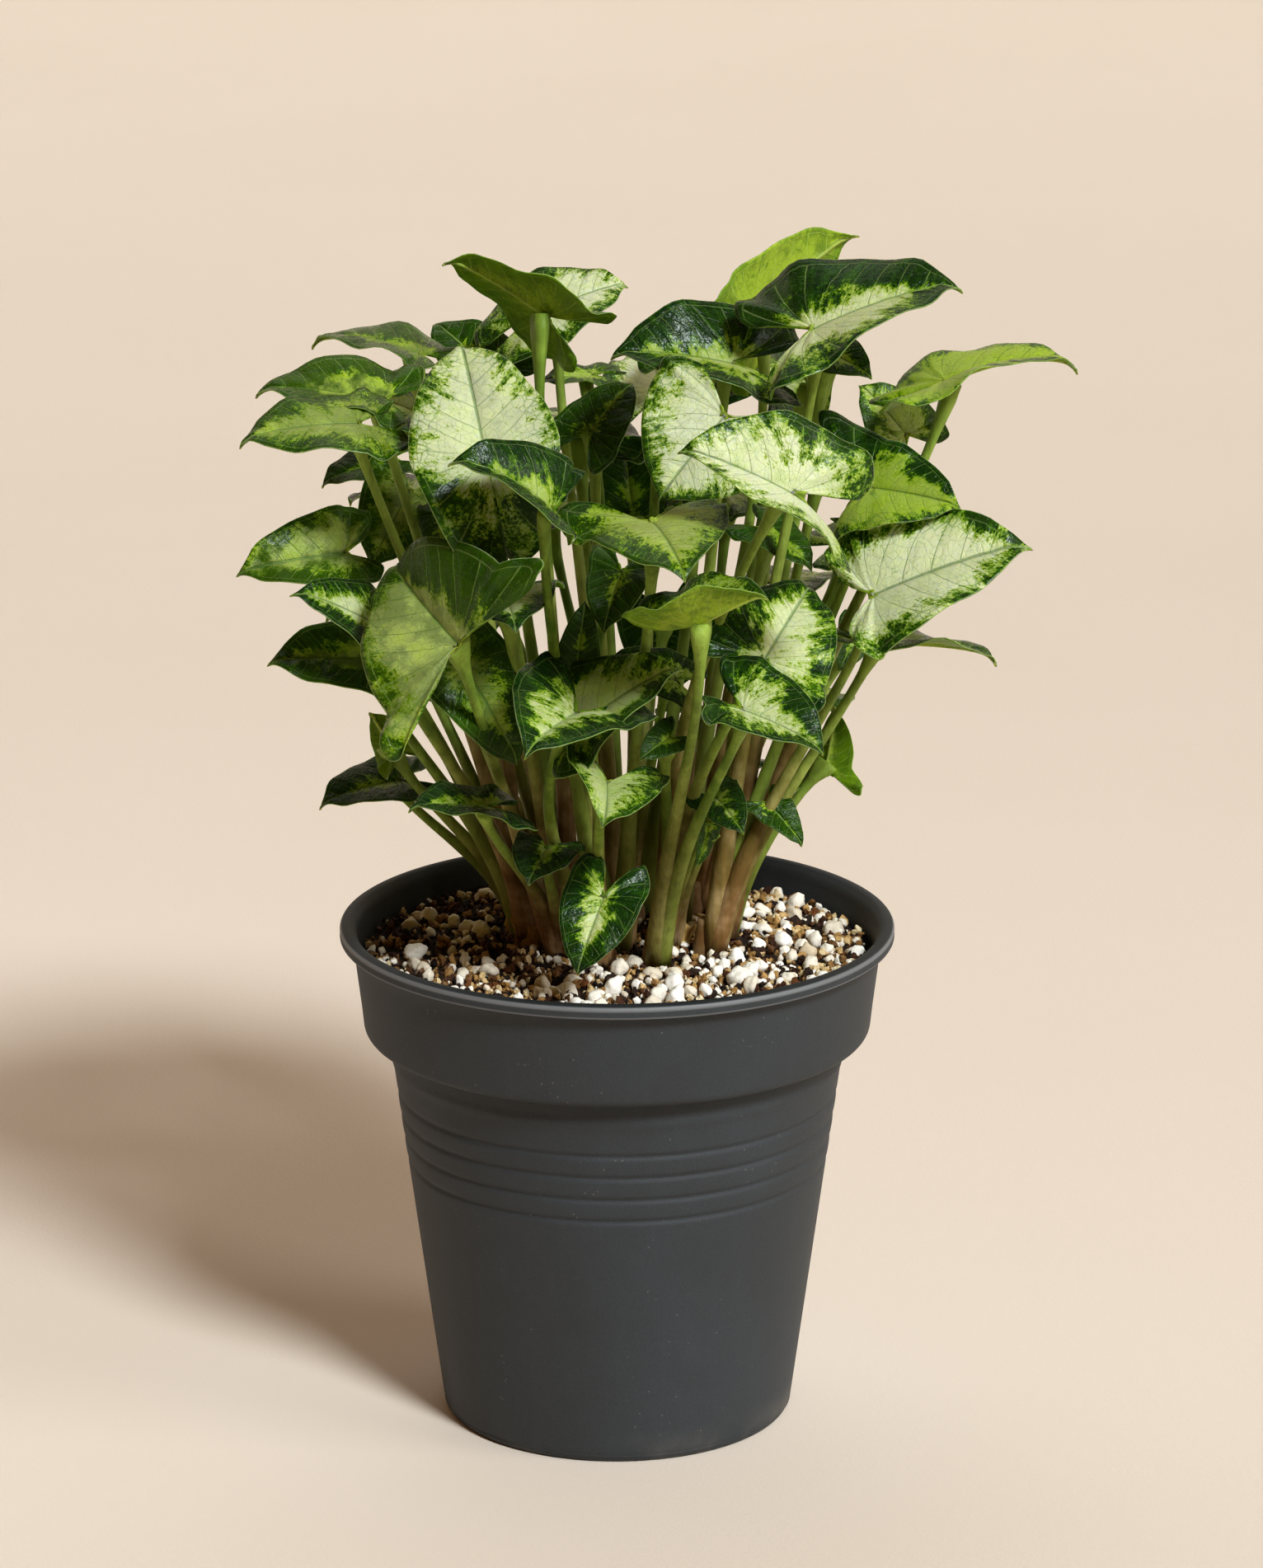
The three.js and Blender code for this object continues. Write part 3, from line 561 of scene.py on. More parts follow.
shoots = [
    {"foot": (-13, -6), "leaves": [
        leaf((-29, -45, 242), (-35, -20, 262), (0, -0.74, 0.67), "white",
             width=1.1, reach=1.55, spread=-0.35, lobeRight=65, lobeGreen=0.55, shade=0.3),
        leaf((-35, -62, 203), (-50, -35, 215), (-0.55, -0.75, 0.4), "dusky",
             width=1.4, reach=0.65, spread=0.9, fold=25, sway=-8, lean=-0.35, shade=0.6),
        leaf((-34, -38, 191), (-22, -36, 167), (0.3, -0.8, 0.4), "mottled",
             width=0.85, reach=0.8, spread=0.1, shade=0.6),
        leaf((-29, -46, 161), (-47, -52, 162), (0, -0.15, 0.95), "star", width=1.15, fold=15),
        leaf((-16, -36, 148), (-20, -48, 143), (-0.1, -0.7, 0.7), "star", width=1.2),
        leaf((-25, -40, 209), (-22, -60, 205), (0, -0.4, 0.9), "splash", width=1.2, spread=0.6),
    ]},
    {"foot": (-20, 4), "husk": -130, "leaves": [
        leaf((-53, -9, 246), (-83, -5, 247), (0, -0.25, 0.95), "olive",
             reach=0.45, fold=18, lobeRight=50, shade=1),
        leaf((-58, -27, 245), (-85, -32, 241), (0, -0.3, 0.95), "lime",
             width=1.1, reach=0.7, fold=8, lobeLeft=-30, shade=0.5),
        leaf((-62, -15, 212), (-87, -20, 208), (-0.1, -0.75, 0.65), "dusky",
             width=0.9, reach=0.5, spread=0.1, fold=25, sway=-6, shade=0.8),
        leaf((-54, -30, 199), (-73, -40, 209), (0, -0.6, 0.8), "splash", width=0.9, reach=0.6, sway=6),
        leaf((-57, -18, 188), (-80, -23, 188), (-0.1, -0.6, 0.75), "olive", reach=0.6, shade=0.75),
    ]},
    {"foot": (-21, 15), "leaves": [
        leaf((-46, 20, 251), (-72, 30, 251), (0, 0.02, 1), "olive",
             reach=0.5, spread=0.1, bend=35, lobeLeft=0, lobeRight=50, shade=0.6),
        leaf((-38, 18, 240), (-46, 34, 243), (-0.1, -0.6, 0.8), "green", width=0.8, reach=0.4),
        leaf((-48, 8, 221), (-57, 1, 204), (0, -0.8, 0.5), "dusky", width=1.1, reach=0.6, shade=0.7),
        leaf((-53, 18, 226), (-69, 13, 221), (0, -0.3, 0.9), "green"),
        leaf((-51, 10, 151), (-70, 1, 147), (0, -0.3, 0.95), "green"),
        leaf((-52, 2, 161), (-58, 9, 168), (-0.3, 0.8, 0.4), "green"),
        leaf((-50, 26, 186), (-70, 37, 183), (-0.1, -0.1, 0.9), "mottled"),
    ]},
    {"foot": (-4, -12), "leaves": [
        leaf((-14, -61, 233), (-37, -66, 245), (0.1, -0.45, 0.9), "star",
             reach=0.2, bend=45, fold=30, lobeLeft=0),
        leaf((-9, -58, 186), (-20, -83, 183), (0.25, -0.25, 0.95), "feather",
             width=1.2, fold=25, lobeLeft=0, lobeRight=-30, sway=-10),
        leaf((-8, -50, 181), (15, -55, 196), (0, -0.5, 0.8), "cream",
             width=1.1, reach=0.6, spread=0.1, fold=20, lobeRight=10, shade=0.3),
        leaf((-3, -48, 140), (-9, -56, 124), (-0.2, -0.9, 0.35), "feather", width=1.05, spread=0.1),
        leaf((-2, -58, 170), (-3, -76, 165), (0.4, -0.35, 0.85), "cream",
             width=1.4, spread=0.5, fold=30, lobeLeft=-20, lobeRight=-20),
        leaf((-9, -42, 192), (-7, -37, 207), (0.1, -0.95, 0.25), "green", width=0.7, reach=0.4),
    ]},
    {"foot": (-9, 4), "leaves": [
        leaf((-16, 5, 263), (-40, 4, 276), (0.15, 0.6, 0.8), "mottled",
             width=1.1, spread=0.5, fold=8, lobeLeft=-30, lobeRight=-10),
        leaf((-40, -9, 219), (-39, -17, 211), (-0.2, -0.8, 0.4), "green"),
    ]},
    {"foot": (1, -2), "leaves": [
        leaf((8, -66, 231.5), (15, -91, 224.5), (0, -0.5, 0.85), "lime",
             width=1.3, reach=1.15, spread=0.5, bend=30, fold=8, lobeLeft=10, lobeRight=-40, shade=0.25),
        leaf((1, -33, 212), (-3, -43, 200), (-0.2, -0.8, 0.5), "green", sway=-12),
        leaf((13, -25, 185), (-3, -27, 190), (0, -0.5, 0.85), "star"),
    ]},
    {"foot": (9, -13), "leaves": [
        leaf((17, -76, 211), (33, -82, 219), (0, 0, 1), "lime",
             width=1.5, reach=1.6, spread=0.1, bend=10, fold=45, cup=10, lobeLeft=-30, lobeRight=-30),
        leaf((28, -66, 189), (46, -74, 181), (0, -0.4, 0.9), "splash",
             width=1.25, fold=30, lobeLeft=-10, lobeRight=-75),
    ]},
    {"foot": (12, 1), "husk": -70, "leaves": [
        leaf((24, -30, 247), (9, -37, 229), (0, -0.85, 0.5), "white", width=1.6, reach=0.5, shade=0.25),
        leaf((38, -70, 239), (13, -72, 249), (0, -0.6, 0.8), "white",
             width=1.3, reach=1.1, spread=0.2, fold=34, cup=5, lobeLeft=50, sway=-10),
        leaf((26, -10, 255), (-2, -12, 257), (0, -0.5, 0.85), "star", width=1.2, fold=30, lean=-0.15),
        leaf((12, -35, 174), (5, -40, 170), (0, -0.7, 0.6), "green"),
        leaf((33, -52, 197), (44, -28, 208), (0, -0.9, 0.4), "splash",
             width=1.1, reach=0.5, spread=0.4, sway=-5, lean=0.12),
        leaf((23, -26, 157), (29, -35, 151), (0.1, -0.8, 0.5), "star"),
        leaf((21, -25, 150), (18, -28, 141), (0.5, -0.8, 0.2), "plain", width=0.6),
    ]},
    {"foot": (21, -6), "leaves": [
        leaf((34, -5, 215), (45, -12, 207), (0, -0.3, 0.9), "green"),
        leaf((58, -30, 206), (94, -32, 218), (0.1, -0.6, 0.8), "white",
             width=1.1, reach=0.35, spread=0.1, fold=22, lobeRight=-40),
        leaf((44, -25, 266), (78, -22, 275), (0, -0.32, 0.95), "splash",
             width=1.2, reach=0.8, fold=20, lobeLeft=10, lobeRight=45, lean=0.32),
        leaf((58, -18, 228), (78, -26, 225), (0, -0.75, 0.65), "fresh",
             width=1.15, reach=2, spread=0.8, fold=15, lobeLeft=-20, lobeRight=120, lean=0.2),
        leaf((58, -15, 191), (88, -13, 186), (0, 0.12, 1), "mottled",
             reach=0.6, spread=0.1, lobeLeft=-30, lobeRight=-30, shade=0.4),
        leaf((35, -13, 152), (43, -18, 143), (0, -0.5, 0.8), "green", width=0.8, reach=0.5),
    ]},
    {"foot": (24, 7), "leaves": [
        leaf((75, -5, 250), (106, -2, 252), (0, 0, 1), "young",
             spread=0.1, bend=40, fold=15, lobeLeft=10, lobeRight=-10),
        leaf((47, -5, 257), (58, -13, 252), (0, -0.6, 0.7), "mottled"),
        leaf((45, 5, 248), (46, -1, 237), (0.5, -0.8, 0.3), "young", width=0.7, fold=35),
        leaf((56, 26, 182), (52, 22, 174), (0.3, -0.8, 0.3), "green"),
        leaf((49, 5, 155), (51, 15, 168), (0.2, 0.7, 0.6), "green", width=0.8, reach=1.2, spread=0.9),
        leaf((62, 16, 212), (90, 20, 209), (0, 0.1, 1), "mottled", reach=0.7),
        leaf((67, 20, 232), (56, 24, 243), (0.2, -0.8, 0.5), "dusky", width=1.2, reach=0.9, shade=0.3),
        leaf((47, 24, 226), (66, 40, 224), (0.2, 0.2, 0.9), "lime", width=0.8, reach=0.7),
    ]},
    {"foot": (13, 13), "leaves": [
        leaf((32, 18, 260), (56, 33, 277), (-0.35, 0.8, 0.4), "young", width=0.9, reach=0.8),
    ]},
    {"foot": (1, 12), "leaves": [
        leaf((-16, 32, 259), (3, 36, 264), (0, -0.5, 0.85), "white", width=1.3, reach=1.7, spread=-0.1),
        leaf((-6, 38, 242), (-19, 37, 240), (0, -0.2, 1), "mottled", reach=1.3),
        leaf((-6, 10, 235), (4, 21, 244), (0, -0.6, 0.8), "green"),
        leaf((-9, 46, 226), (-13, 76, 224), (0, 0.3, 0.95), "splash"),
    ]},
    {"foot": (-12, 25), "leaves": [
        leaf((-30, 42, 242), (-44, 56, 251), (0, -0.6, 0.8), "green", reach=0.6),
        leaf((-44, 40, 213), (-65, 57, 207), (-0.4, 0.2, 0.9), "splash", reach=0.6),
        leaf((-48, 36, 234), (-68, 50, 234), (-0.2, 0.1, 0.95), "mottled", reach=0.8, sway=8),
        leaf((-30, 52, 186), (-38, 62, 168), (-0.2, -0.5, 0.6), "green", width=1.1),
        leaf((-38, 38, 165), (-52, 52, 160), (-0.4, 0.2, 0.9), "star"),
        leaf((-15, 43, 155), (-19, 59, 149), (0, 0.5, 0.9), "green", width=0.8),
    ]},
    {"foot": (4, 24), "leaves": [
        leaf((10, 47, 236), (8, 76, 239), (0, 0.2, 0.95), "white"),
        leaf((20, 34, 249), (30, 58, 255), (0.1, 0.1, 0.95), "mottled", reach=0.8, sway=-8),
        leaf((4, 58, 202), (1, 65, 223), (0, -0.8, 0.4), "green", width=1.2, reach=0.8),
        leaf((-16, 62, 204), (-32, 84, 200), (-0.2, 0.4, 0.9), "cream"),
        leaf((20, 44, 158), (27, 62, 151), (0.2, 0.5, 0.9), "star", reach=0.5),
        leaf((11, 48, 181), (13, 54, 160), (0, -0.8, 0.4), "green", width=1.1, reach=0.8),
    ]},
    {"foot": (18, 24), "leaves": [
        leaf((38, 38, 240), (58, 58, 244), (0.2, 0.2, 0.95), "splash"),
        leaf((26, 46, 212), (38, 69, 210), (0.2, 0.3, 0.9), "cream", width=0.85),
        leaf((54, 38, 201), (78, 51, 196), (0.4, 0.2, 0.9), "lime"),
        leaf((40, 54, 188), (58, 76, 182), (0.2, 0.4, 0.9), "splash"),
        leaf((45, 36, 164), (56, 52, 159), (0.3, 0.2, 0.9), "mottled", reach=0.6),
        leaf((28, 46, 146), (34, 60, 140), (0.3, 0.4, 0.9), "star", reach=0.5),
    ]},
]
feet = [shoot["foot"] for shoot in shoots]

bladeForm = {
    "rows": 48, "columns": (0, 0.035, 0.075, 0.14, 0.24, 0.36, 0.48, 0.6, 0.72, 0.83, 0.93, 1),
    "thickness": 0.36, "edgeThickness": 0.24, "ribHeight": 0.8, "ribWidth": 0.022,
    "groove": 0.25, "quilt": 0.015, "ripple": 0.013, "ruffle": 0.036, "tipCurl": 0.05, "tipPinch": 0.45,
    "curlFrom": 0.84, "pinchFrom": 0.78, "foldSteps": 6, "ribSteps": 12, "hookFrom": 0.65,
    "veins": 5.5, "fanStep": 27, "seed": 21,
}


def unit(vector):
    return vector / np.linalg.norm(vector)


def shareFrom(start, place):  # 0 up to start, 1 at the tip
    return np.clip((place - start) / (1 - start), 0, 1)


def outlineAt(share):  # a smooth curve through the outline's points
    last = len(halfOutline) - 1
    place = share * last
    k = np.minimum(place.astype(int), last - 1)
    t = (place - k)[:, None]
    before = np.where((k > 0)[:, None], halfOutline[k - 1], 2 * halfOutline[0] - halfOutline[1])
    after = np.where((k + 2 <= last)[:, None], halfOutline[np.minimum(k + 2, last)],
                     2 * halfOutline[last] - halfOutline[last - 1])
    start, end = halfOutline[k], halfOutline[k + 1]
    leave, arrive = 0.5 * (end - before), 0.5 * (after - start)
    return (start + leave * t + (-3 * start + 3 * end - 2 * leave - arrive) * t ** 2
            + (2 * start - 2 * end + leave + arrive) * t ** 3)


def midribAt(share, form, lobeDroop):
    steps = bladeForm["ribSteps"]

    def slopeAt(s):
        late = shareFrom(bladeForm["hookFrom"], s)
        ahead = -np.radians(form["bend"]) * s - np.radians(form["hook"]) * late ** 2
        return np.where(s < 0, -np.radians(lobeDroop) * s / lobeReach, ahead)

    x, z = np.zeros_like(share), np.zeros_like(share)
    for k in range(steps):
        slope = slopeAt((k + 0.5) / steps * share)
        x += np.cos(slope) * share / steps
        z += np.sin(slope) * share / steps
    return x, z, slopeAt(share)


def leafFrame(form):
    base, tip, face = (np.array(form[key], float) for key in ("base", "tip", "face"))
    along = unit(tip - base)
    up = unit(face - face.dot(along) * along)
    return base, along, np.cross(up, along), up, np.linalg.norm(tip - base)


def veinPhase(along, across):  # whole numbers lie on the side veins
    ahead = along - 0.5 * across - 0.8 * across ** 2
    away = np.hypot(along, across)
    turn = np.degrees(np.arctan2(across, along))
    turnAtPetiole = np.degrees(np.arctan2(1, 0.5 + 0.7 * away))
    fan = (turnAtPetiole - turn) / bladeForm["fanStep"]
    return np.where(ahead > 0, ahead * bladeForm["veins"], fan), np.where(ahead > 0, across, away)


def bladePoints(form, side, share, out, seed):
    base, alongAxis, leftAxis, upAxis, length = leafFrame(form)
    knot = outlineAt(share)
    back = np.maximum(0, -knot[:, 0])
    edgeAlong = knot[:, 0] + back * (1 - form["reach"] * (1 - 0.3 * form["spread"]))
    pinch = 1 - bladeForm["tipPinch"] * shareFrom(bladeForm["pinchFrom"], knot[:, 0])
    edgeAcross = knot[:, 1] * form["width"] * pinch + 0.9 * form["spread"] * back
    spine = np.maximum(0, 1 - share * (len(halfOutline) - 1) / widestKnot)
    along = spine + (edgeAlong - spine) * out
    across = edgeAcross * out
    droop = np.where(side > 0, form["lobeLeft"], form["lobeRight"])
    ribX, ribZ, ribSlope = midribAt(along, form, droop)

    steps = bladeForm["foldSteps"]
    sideways, rise = np.zeros_like(out), np.zeros_like(out)
    for k in range(steps):
        slope = np.radians(form["fold"]) - np.radians(form["cup"]) / halfWidth * across * (k + 0.5) / steps
        sideways += np.cos(slope) * across / steps
        rise += np.sin(slope) * across / steps
    phase = np.where(side > 0, 0, 0.37)
    ends = np.sin(math.pi * share)
    waves = [(form["wave"], 2, 3, 0)]  # height, how fast it grows towards the edge, count, shift
    waves += [(bladeForm["ruffle"], 2, 4.3, 3 * seed), (bladeForm["ripple"], 3, 9, seed)]
    for height, power, count, shift in waves:
        rise += height * out ** power * np.sin(2 * math.pi * (count * share + phase + shift)) * ends
    rise -= bladeForm["tipCurl"] * shareFrom(bladeForm["curlFrom"], along) ** 2
    veins, fromRib = veinPhase(along, across)
    rise += bladeForm["quilt"] * np.sin(math.pi * veins) ** 2 * 4 * out * (1 - out)

    endX, endZ, _ = midribAt(np.array([1.0]), form, 0)
    tilt = math.atan2(endZ[0], endX[0])
    scale = length / math.hypot(endX[0], endZ[0])
    x = ribX - np.sin(ribSlope) * rise
    z = ribZ + np.cos(ribSlope) * rise
    points = (base + (scale * (x * math.cos(tilt) + z * math.sin(tilt)))[:, None] * alongAxis
              + (scale * (z * math.cos(tilt) - x * math.sin(tilt)))[:, None] * upAxis
              + (scale * sideways * side)[:, None] * leftAxis)
    return points, along, across, veins, fromRib


def bladeNet():  # the points and faces that every blade has
    rows, columns = bladeForm["rows"], bladeForm["columns"]
    middle = round(rows * widestKnot / (len(halfOutline) - 1))
    spots = []
    known = {}

    def spot(side, i, j):
        key = (side, i, j)
        if i == 0:
            key = "tip"
        elif i == rows or (j == 0 and i >= middle):
            key = "petiole"
        elif j == 0:
            key = ("rib", i)
        if key not in known:
            known[key] = len(spots)
            spots.append((side, i / rows, columns[j]))
        return known[key]

    faces = []
    edge = []
    for side in (1, -1):
        for i in range(rows):
            for j in range(len(columns) - 1):
                around = ((i, j), (i, j + 1), (i + 1, j + 1), (i + 1, j))
                corners = list(dict.fromkeys(spot(side, *place) for place in around))
                if len(corners) > 2:
                    faces.append(corners if side > 0 else corners[::-1])
            step = [spot(side, i, len(columns) - 1), spot(side, i + 1, len(columns) - 1)]
            if step[0] != step[1]:
                edge.append(step if side > 0 else step[::-1])
    return np.array(spots), faces, edge


def pointNormals(points, faces):
    corners = np.array([face + face[:4 - len(face)] for face in faces])  # a triangle repeats its first
    a, b, c, d = (points[corners[:, k]] for k in range(4))
    normal = np.cross(c - a, d - b)
    repeated = corners[:, 3] == corners[:, 0]
    normals = np.zeros_like(points)
    for k in range(3):
        np.add.at(normals, corners[:, k], normal)
    np.add.at(normals, corners[~repeated, 3], normal[~repeated])
    return normals / np.maximum(np.linalg.norm(normals, axis=1), 1e-9)[:, None]


def addBlade(heap, form, seed, net):
    spots, faces, edge = net
    side, share, out = spots.T
    points, along, across, veins, fromRib = bladePoints(form, side, share, out, seed)
    normals = pointNormals(points, faces)
    if normals[0].dot(leafFrame(form)[3]) < 0:
        normals = -normals
    ahead = np.clip(along, 0, 1)
    ribShare = np.exp(-(across / bladeForm["ribWidth"]) ** 2) * (along > -0.02) * (1 - ahead) ** 0.6
    upper = points - normals * (bladeForm["groove"] * ribShare)[:, None]
    thickness = bladeForm["thickness"] + (bladeForm["edgeThickness"] - bladeForm["thickness"]) * out ** 3
    lower = points - normals * (thickness + bladeForm["ribHeight"] * ribShare)[:, None]

    pale, margin, lime, dark, speckle = leafLooks[form["look"]]
    depth = 1 - (1 - out) * (1 - 0.6 * shareFrom(0.45, along))
    margin = margin + form["lean"] * np.clip(6 * across * side, -1, 1)
    marks = {
        "leafPlace": np.stack([along, across * side, depth], 1),
        "leafVein": np.stack([veins, fromRib, np.abs(across)], 1),
        "leafTone": np.stack(np.broadcast_arrays(pale, margin, lime), 1),
        "leafSpot": (speckle, form["lobeGreen"], form["shade"]),
    }
    start, count = heap.count, len(upper)
    for skin, order, isUpper in ((upper, 1, 1), (lower, -1, 0)):
        skinFaces = [face[::order] for face in faces]
        heap.put(skin, skinFaces, leafMore=(dark, seed, isUpper), **marks)
    heap.faces.extend([start + b, start + a, start + a + count, start + b + count] for a, b in edge)


leafColours = {
    "deep": "143012", "deepWarm": "2d4a0c", "mid": "386312", "midWarm": "50760a", "lime": "98b022",
    "limeCool": "8ea638", "cream": "d0d48e", "white": "e0e4c6", "vein": "b5cc80", "hairline": "4f7a2c",
    "rim": "c3d2a0", "olive": "3e5a0c", "under": "74911e", "underPale": "b2c446", "underDark": "3c6214",
    "underVein": "bccb72",
}


def leafPaint():
    paint = Paint("leafSkin")
    tint = leafColours
    along, across, depth = paint.mark("leafPlace")
    phase, fromRib, reach = paint.mark("leafVein")
    pale, margin, lime = paint.mark("leafTone")
    dark, seed, face = paint.mark("leafMore")
    speckle, lobeGreen, shade = paint.mark("leafSpot")
    place = paint.objectPlace()
    shift = seed * 9
    flat = paint.join(along, across, shift)

    # Veins
    sideVein = phase.apart().rise(0.035, 0.006) * depth.rise(0.93, 0.86)
    fineVein = (phase * 3 + 0.3 * fromRib).apart().rise(0.07, 0.02) * depth.rise(0.93, 0.86)
    rib = reach.rise(0.012, 0.005) * along.rise(-0.03, 0.02)
    edgeVein = (depth - 0.895).size().rise(0.012, 0.003)
    net = paint.cells(place, 430).rise(0.07, 0.012)
    veins = rib.orMore(sideVein * 0.75).orMore(edgeVein * 0.5)

    # How far each spot has turned from green to pale
    half = paint.grain(flat, 1.9, 1.0)
    blotch = paint.grain(flat, 7.0, 4.0, 0.62)
    streak = paint.grain(paint.join(phase * 1.9, fromRib * 3.5, shift), 1.5, 3.0, 0.55)
    flecks = paint.grain(paint.join(phase * 7, fromRib * 30, shift), 1.6, 3.0, 0.7)
    crumbs = paint.grain(place, 1500, 2.0, 0.6)
    lobe = along.rise(0.0, -0.4)
    turned = 1 - margin - depth + 1.2 * (half - 0.5) + 1.25 * (blotch - 0.5) + 0.95 * (streak - 0.5)
    # the lobes are painted greener: partly their own colour, partly painted shade for lobes that lie in
    # other leaves' shadow
    turned = turned - (0.14 + 0.5 * lobeGreen) * lobe
    turned = turned * 2.5 + 0.5 + speckle * (2.3 * (flecks - 0.5) + 1.3 * (crumbs - 0.5))
    turned = turned + sideVein * 0.1

    # Colours of the two sides
    deep = paint.layers(tint["deepWarm"], (dark, tint["deep"]), (streak.rise(0.4, 0.7) * 0.5, tint["mid"]))
    bright = paint.mix(lime, tint["mid"], tint["midWarm"])
    limeColour = paint.mix(lime, tint["limeCool"], tint["lime"])
    cream = paint.mix(pale, tint["cream"], tint["white"])
    cloud = paint.grain(flat, 3.4, 4.0, 0.65)
    light = turned.rise(0.35, 0.75)
    upper = paint.layers(
        deep,
        (turned.rise(0.0, 0.3), bright),
        (turned.rise(0.3, 0.6), limeColour),
        (turned.rise(0.55, 1.1) * (0.1 + 0.9 * pale), cream),
        (cloud.rise(0.42, 0.7) * (0.85 - 0.5 * pale) * turned.rise(0.5, 1.0), limeColour),
        # the lobes painted limer, the same mix of own colour and painted shade
        (lobe * 0.35 * turned.rise(0.3, 0.8), limeColour),
        (flecks.rise(0.54, 0.66) * blotch.rise(0.42, 0.6) * (0.7 - 0.35 * pale), bright),
        # dull olive clouds: partly the leaf's own colour, partly painted shade on leaves that stand in
        # shadow
        (cloud.rise(0.64, 0.42) * shade, tint["olive"]),
        (veins * light * 0.55, tint["hairline"]),
        (veins * (1 - light) * 0.4, tint["vein"]),
        (fineVein * 0.14, tint["hairline"]),
        (net * (0.12 + 0.42 * depth.rise(0.5, 0.85)) * light, tint["hairline"]),
        (depth.rise(0.985, 1.0) * 0.45, tint["rim"]),
    )
    under = paint.layers(
        tint["under"],
        (turned.rise(0.1, 0.9) * 0.6, tint["underPale"]),
        (blotch.rise(0.45, 0.7) * 0.5 + dark * 0.35, tint["underDark"]),
        (net * 0.2, tint["underDark"]),
        (veins * 0.6, tint["underVein"]),
    )
    colour = paint.mix(face, under, upper)

    gloss = 0.26 + 0.15 * light + 0.14 * (crumbs - 0.5) + 0.14 * (1 - face)
    relief = paint.bump((1 - veins) * face + veins * (1 - face), 0.0004, 0.5)
    puckers = paint.bump(blotch * 0.7 + 0.5 * streak, 0.0015, 0.35, relief)
    fine = paint.bump(net * -0.6 + crumbs * 0.3, 0.0002, 0.45, puckers)
    return paint.finish(colour, gloss, fine, {
        "Specular IOR Level": 0.22, "Subsurface Weight": 0.7,
        "Subsurface Radius": (0.78, 1.0, 0.1), "Subsurface Scale": 0.0008,
    })


# Stalks and stems

stalkForm = {
    "rings": ((0, 3.0), (0.08, 2.8), (0.2, 2.15), (0.38, 1.6), (0.62, 1.25), (0.88, 1.08), (0.95, 1.25),
              (0.985, 1.6), (1, 1.1)),
    "flare": ((0.82, 0), (0.9, 0.45), (0.96, 1.7), (1, 2.6)),  # extra half width under the blade
    "channel": 0.1,  # depth of the groove along the upper side, as a share of the radius
    "steps": 30, "around": 10, "inset": 1.6, "bladeThickness": 0.8,
    "stemRadius": 3.4, "stemRise": 9, "rootDepth": 13, "stemAround": 18, "stemSteps": 14,
}


def bezier(corners, t):
    a, b, c, d = corners
    t = t[:, None]
    return a * (1 - t) ** 3 + 3 * b * t * (1 - t) ** 2 + 3 * c * t ** 2 * (1 - t) + d * t ** 3


def stalkPath(foot, form):
    base, along, _, up, _ = leafFrame(form)
    end = base - 0.5 * stalkForm["bladeThickness"] * up + stalkForm["inset"] * along
    aside = np.array([base[0] - foot[0], base[1] - foot[1]])
    lean = 0.5 * stalkForm["stemRadius"] / np.hypot(*aside)
    start = np.array([foot[0] + lean * aside[0], foot[1] + lean * aside[1], mixForm["top"] + 1])
    reach = end - start
    span = np.linalg.norm(reach)
    heading = reach / span
    leave = unit(np.array([0.55 * heading[0], 0.55 * heading[1], 1]))
    arrive = unit(0.9 * heading + 0.45 * up + 0.1 * along)
    sideways = unit(np.array([-reach[1], reach[0], 0]))
    bow = form["sway"] * sideways
    corners = (start, start + 0.36 * span * leave + bow, end - 0.3 * span * arrive + bow, end)
    dense = bezier(corners, np.linspace(0, 1, 200))
    travelled = np.concatenate([[0], np.cumsum(np.linalg.norm(np.diff(dense, axis=0), axis=1))])
    shares = np.linspace(0, 1, stalkForm["steps"] + 1) ** 0.9
    places = shares * travelled[-1]
    return np.stack([np.interp(places, travelled, dense[:, k]) for k in range(3)], 1), shares


def tube(path, radii, sideways):  # radii: a row for each step, a value for each place around
    turns = turnsAround(radii.shape[1])
    rings = []
    for centre, tangent, reach in zip(path, np.gradient(path, axis=0), radii):
        tangent = unit(tangent)
        across = unit(sideways - sideways.dot(tangent) * tangent)
        spokes = np.outer(np.cos(turns), across) + np.outer(np.sin(turns), np.cross(tangent, across))
        rings.append(centre + reach[:, None] * spokes)
    return loft(rings)


def addStalk(heap, foot, form, seed):
    path, shares = stalkPath(foot, form)
    turns = turnsAround(stalkForm["around"])
    radii = np.interp(shares, *zip(*stalkForm["rings"]))[:, None]
    flares = np.interp(shares, *zip(*stalkForm["flare"]))[:, None]
    channel = stalkForm["channel"] * np.maximum(0, np.sin(turns)) ** 6
    radii = radii * (1 - channel) + flares * np.cos(turns) ** 2
    points, faces = tube(path, radii, leafFrame(form)[2])
    heap.put(points, faces, stalkShare=np.repeat(shares, len(turns))[:, None], stalkTone=(seed, 0, 0))


def addStem(heap, foot, seed):
    form = stalkForm
    turns = turnsAround(form["stemAround"])
    shares = np.linspace(0, 1, form["stemSteps"] + 1)
    heights = mixForm["top"] - form["rootDepth"] + shares * (form["rootDepth"] + form["stemRise"])
    path = np.stack([foot[0] + 0 * shares, foot[1] + 0 * shares, heights], 1)
    radii = form["stemRadius"] * np.interp(shares, (0, 0.7, 1), (1, 1, 0.6))[:, None]
    radii = radii * (0.97 + 0.05 * np.cos(3 * turns + 9 * seed + 0.08 * heights[:, None]))
    heap.put(*tube(path, radii, np.array([1.0, 0, 0])), stalkShare=0, stalkTone=(seed, 1, 0))


huskForm = {
    "height": 9, "radius": 4.7, "flare": 1.6, "sweep": 130, "thickness": 0.25, "rows": 8, "columns": 14,
}


